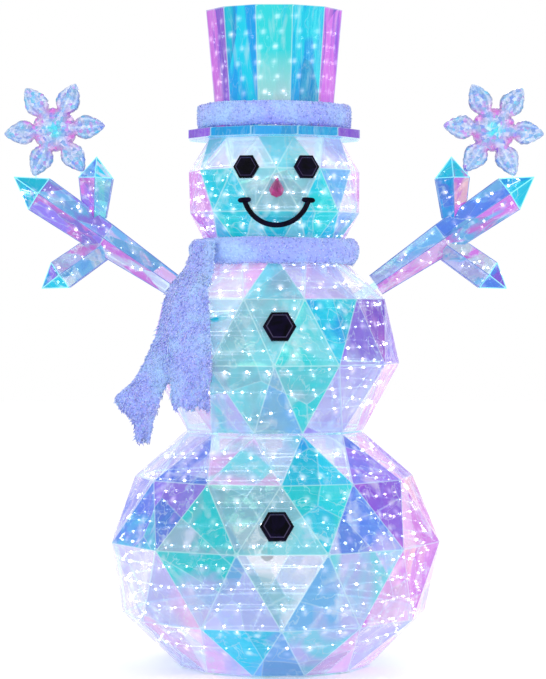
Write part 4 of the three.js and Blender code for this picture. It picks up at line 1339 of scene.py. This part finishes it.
def tail(node_name, sections, seed):
    """A hanging end of the scarf: a closed strip with soft folds and a ragged hem."""
    rows = 72
    columns = 16
    verts = []
    for j in range(rows + 1):
        share = j / rows
        x, y, z, wide, yaw = between(sections, share)
        a = math.radians(yaw)
        across = Vector((math.cos(a), -math.sin(a), 0))
        out = Vector((-math.sin(a), -math.cos(a), 0))
        ragged = max(0.0, (share - (1 - HEM_SHARE)) / HEM_SHARE)
        for face in (1, -1):
            for i in range(columns + 1):
                u = (i if face > 0 else columns - i) / columns - 0.5
                edge = math.sqrt(max(0.0, 1 - (2 * abs(u)) ** 6))
                spot = Vector((x, y, z)) + across * (u * wide)
                fold = math.sin(u * 9 + share * 5 + seed) * 3 * MM * share
                nap = noise.noise(spot * 45 + Vector((seed, 0, 0))) * 2 * MM
                drop = noise.noise(Vector((u * 9, seed, 0))) * 26 * MM * ragged
                spot += out * (fold + face * (TAIL_CLOTH / 2 * edge + max(0, nap)))
                spot += across * (noise.noise(Vector((share * 14, u, seed))) * 4 * MM * abs(u) * 2)
                verts.append(spot + Vector((0, 0, drop)))
    faces = capped_faces(rows + 1, 2 * (columns + 1))
    plush_cloth(node_name, "torso", verts, faces, seed, (6500, 11 * MM, TAIL_DROOP))


tail("scarf_tail_front", FRONT_TAIL, 61)
tail("scarf_tail_rear", REAR_TAIL, 62)


# ---------------------------------------------------------------- face
SMILE_RADIUS = 74.5 * MM
SMILE_Z = 1.0946  # the height of the bow's centre
SMILE_END = 76  # degrees from its lowest point to each end
SMILE_OUT = 9 * MM  # in front of the head's corners
SMILE_THICK = 6 * MM


def mouth():
    """The smile: a round bow with a short bar across each end, on three short pegs."""
    turn = Matrix.Rotation(math.radians(FACE_TURN), 3, "Z")
    path = []
    for i in range(49):
        angle = math.radians(SMILE_END * (i / 24 - 1))
        x = SMILE_RADIUS * math.sin(angle)
        z = SMILE_Z - SMILE_RADIUS * math.cos(angle)
        path.append(turn @ Vector((x, -SMILE_OUT - math.sqrt(radius_at(HEAD, z) ** 2 - x * x), z)))
    build = Build()
    tube(build, path, SMILE_THICK, 18)
    half_bar = ((0, 6.2), (0.7, 5.8), (0.95, 4.8), (1.1, 3), (1.18, 0.6))
    bar = [(-share, r) for share, r in half_bar[:0:-1]] + list(half_bar)
    for tip in (path[0], path[-1]):
        lean = turn @ Vector((math.copysign(13 * MM, tip.x), 0, -1 * MM))
        tube(build, [tip + lean * share for share, _ in bar], [r * MM for _, r in bar], 16)
    for at in (path[3], path[24], path[45]):
        tube(build, [at, Vector((at.x * 0.88, at.y * 0.88, at.z))], 2 * MM, 10)
    build.piece("mouth_bow", "head", GEM, replaces=("mouth",), slot="gem")


mouth()


# ---------------------------------------------------------------- carried-over CAD nodes
def dress(node_name, material, bevel=0.0, segments=2):
    """Gives a CAD node its material, and rounds its edges a little."""
    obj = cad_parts[node_name]
    obj.data.materials.clear()
    obj.data.materials.append(material)
    if bevel:
        made = obj.modifiers.new("bevel", "BEVEL")
        made.width = bevel
        made.segments = segments
        made.limit_method = "ANGLE"
        made.angle_limit = math.radians(25)


def front_flat(node_name):
    """The corners of a gem's foremost flat in order, and its outward normal.

    The flat is among the CAD node's parallel faces that have the most area and face the front.
    """
    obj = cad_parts[node_name]
    fronts = {}
    for face in obj.data.polygons:
        normal = obj.matrix_world.to_3x3() @ face.normal
        if normal.y < 0:
            fronts.setdefault(tuple(round(n, 2) for n in normal), []).append((face, normal))
    front = max(fronts.values(), key=lambda pairs: sum(face.area for face, _ in pairs))
    normal = front[0][1].normalized()
    spots = {i for face, _ in front for i in face.vertices}
    places = {tuple(round(n, 5) for n in obj.matrix_world @ obj.data.vertices[i].co) for i in spots}
    foremost = max(Vector(place).dot(normal) for place in places)
    corners = [Vector(place) for place in places if Vector(place).dot(normal) > foremost - 0.5 * MM]
    centre = sum(corners, Vector()) / len(corners)
    side, up = frame_along(normal)
    corners.sort(key=lambda at: math.atan2((at - centre).dot(up), (at - centre).dot(side)))
    return corners, normal


def gem_highlight_ridge(node_name, body):
    """A raised line round the flat of a gem; its violet colour is a painted highlight."""
    corners, normal = front_flat(node_name)
    centre = sum(corners, Vector()) / len(corners)
    rings = ((1.02, -0.4 * MM), (0.96, 0.9 * MM), (0.90, -0.4 * MM))
    verts = [centre + (at - centre) * share + normal * lift for share, lift in rings for at in corners]
    build = Build()
    build.add(verts, turned_over(ring_faces(len(rings), len(corners), closed=True)))
    build.piece(node_name + "_ridge", body, RIDGE_HIGHLIGHT, smooth=False, slot="gem")


gems = {"lower_button": "base", "upper_button": "torso", "left_eye": "head", "right_eye": "head"}
for gem_node, gem_body in gems.items():
    dress(gem_node, GEM, 1.2 * MM, 3)
    gem_highlight_ridge(gem_node, gem_body)
dress("nose", NOSE, 0.8 * MM)
for where in ("base", "torso", "head", "hat", "left_arm", "right_arm"):
    dress(where + "_frame", WIRE)
for plastic_node in ("base_coupler", "torso_plug", "torso_coupler", "head_plug", "head_coupler", "hat_plug"):
    dress(plastic_node, WHITE_PLASTIC)
dress("power_inlet", DARK_RUBBER, 0.5 * MM)
dress("power_inlet_nut", DARK_RUBBER, 0.6 * MM)
for foot_node in ("foot_front_right", "foot_back_right", "foot_back_left", "foot_front_left"):
    dress(foot_node, WHITE_PLASTIC, 0.8 * MM)


# ---------------------------------------------------------------- stage, light and camera
FLOOR_HALF = 14.0
FLOOR_Z = -0.5 * MM
LIGHTS_AIM = Vector((0, 0, 0.8))


def floor():
    """A plain pale floor."""
    look = Look("pale_floor")
    look.shade({
        "Base Color": look.mix(look.noise(3.0, 4.0), (0.93, 0.93, 0.94, 1), (0.97, 0.97, 0.98, 1)),
        "Roughness": 0.9,
        "Emission Color": (1, 1, 1, 1),
        "Emission Strength": 0.12,
    })
    mesh = bpy.data.meshes.new("floor")
    corners = [(x * FLOOR_HALF, y * FLOOR_HALF, FLOOR_Z) for x, y in ((-1, -1), (1, -1), (1, 1), (-1, 1))]
    mesh.from_pydata(corners, [], [(0, 1, 2, 3)])
    mesh.materials.append(look.material)
    obj = place_object("floor", mesh)


def soft_light(name, place, size, power):
    """A round area light that is aimed at the figure."""
    data = bpy.data.lights.new(name, "AREA")
    data.shape = "DISK"
    data.size = size
    data.energy = power
    obj = place_object(name, data)
    obj.location = place
    obj.rotation_euler = (LIGHTS_AIM - Vector(place)).to_track_quat("-Z", "Y").to_euler()


def studio():
    """Even white light from all round, and three soft lights."""
    world = bpy.data.worlds.new("studio")
    bpy.context.scene.world = world
    world.use_nodes = True
    back = world.node_tree.nodes["Background"]
    back.inputs["Color"].default_value = (1, 1, 1, 1)
    back.inputs["Strength"].default_value = 1.0
    soft_light("key", (-2.2, -3.4, 3.2), 1.6, 26)
    soft_light("fill", (2.8, -2.6, 1.6), 1.8, 14)
    soft_light("rim", (0.8, 3.0, 2.6), 1.4, 18)
    bpy.context.scene.view_settings.view_transform = "Standard"


def camera():
    """A long lens straight in front of the figure."""
    data = bpy.data.cameras.new("camera")
    data.sensor_width = 36
    data.lens = 127.2
    data.shift_y = -0.0611
    obj = place_object("camera", data)
    obj.location = (-0.0027, -5.62, 0.855)
    obj.rotation_euler = (math.radians(90), 0, 0)
    bpy.context.scene.camera = obj


floor()
studio()
camera()
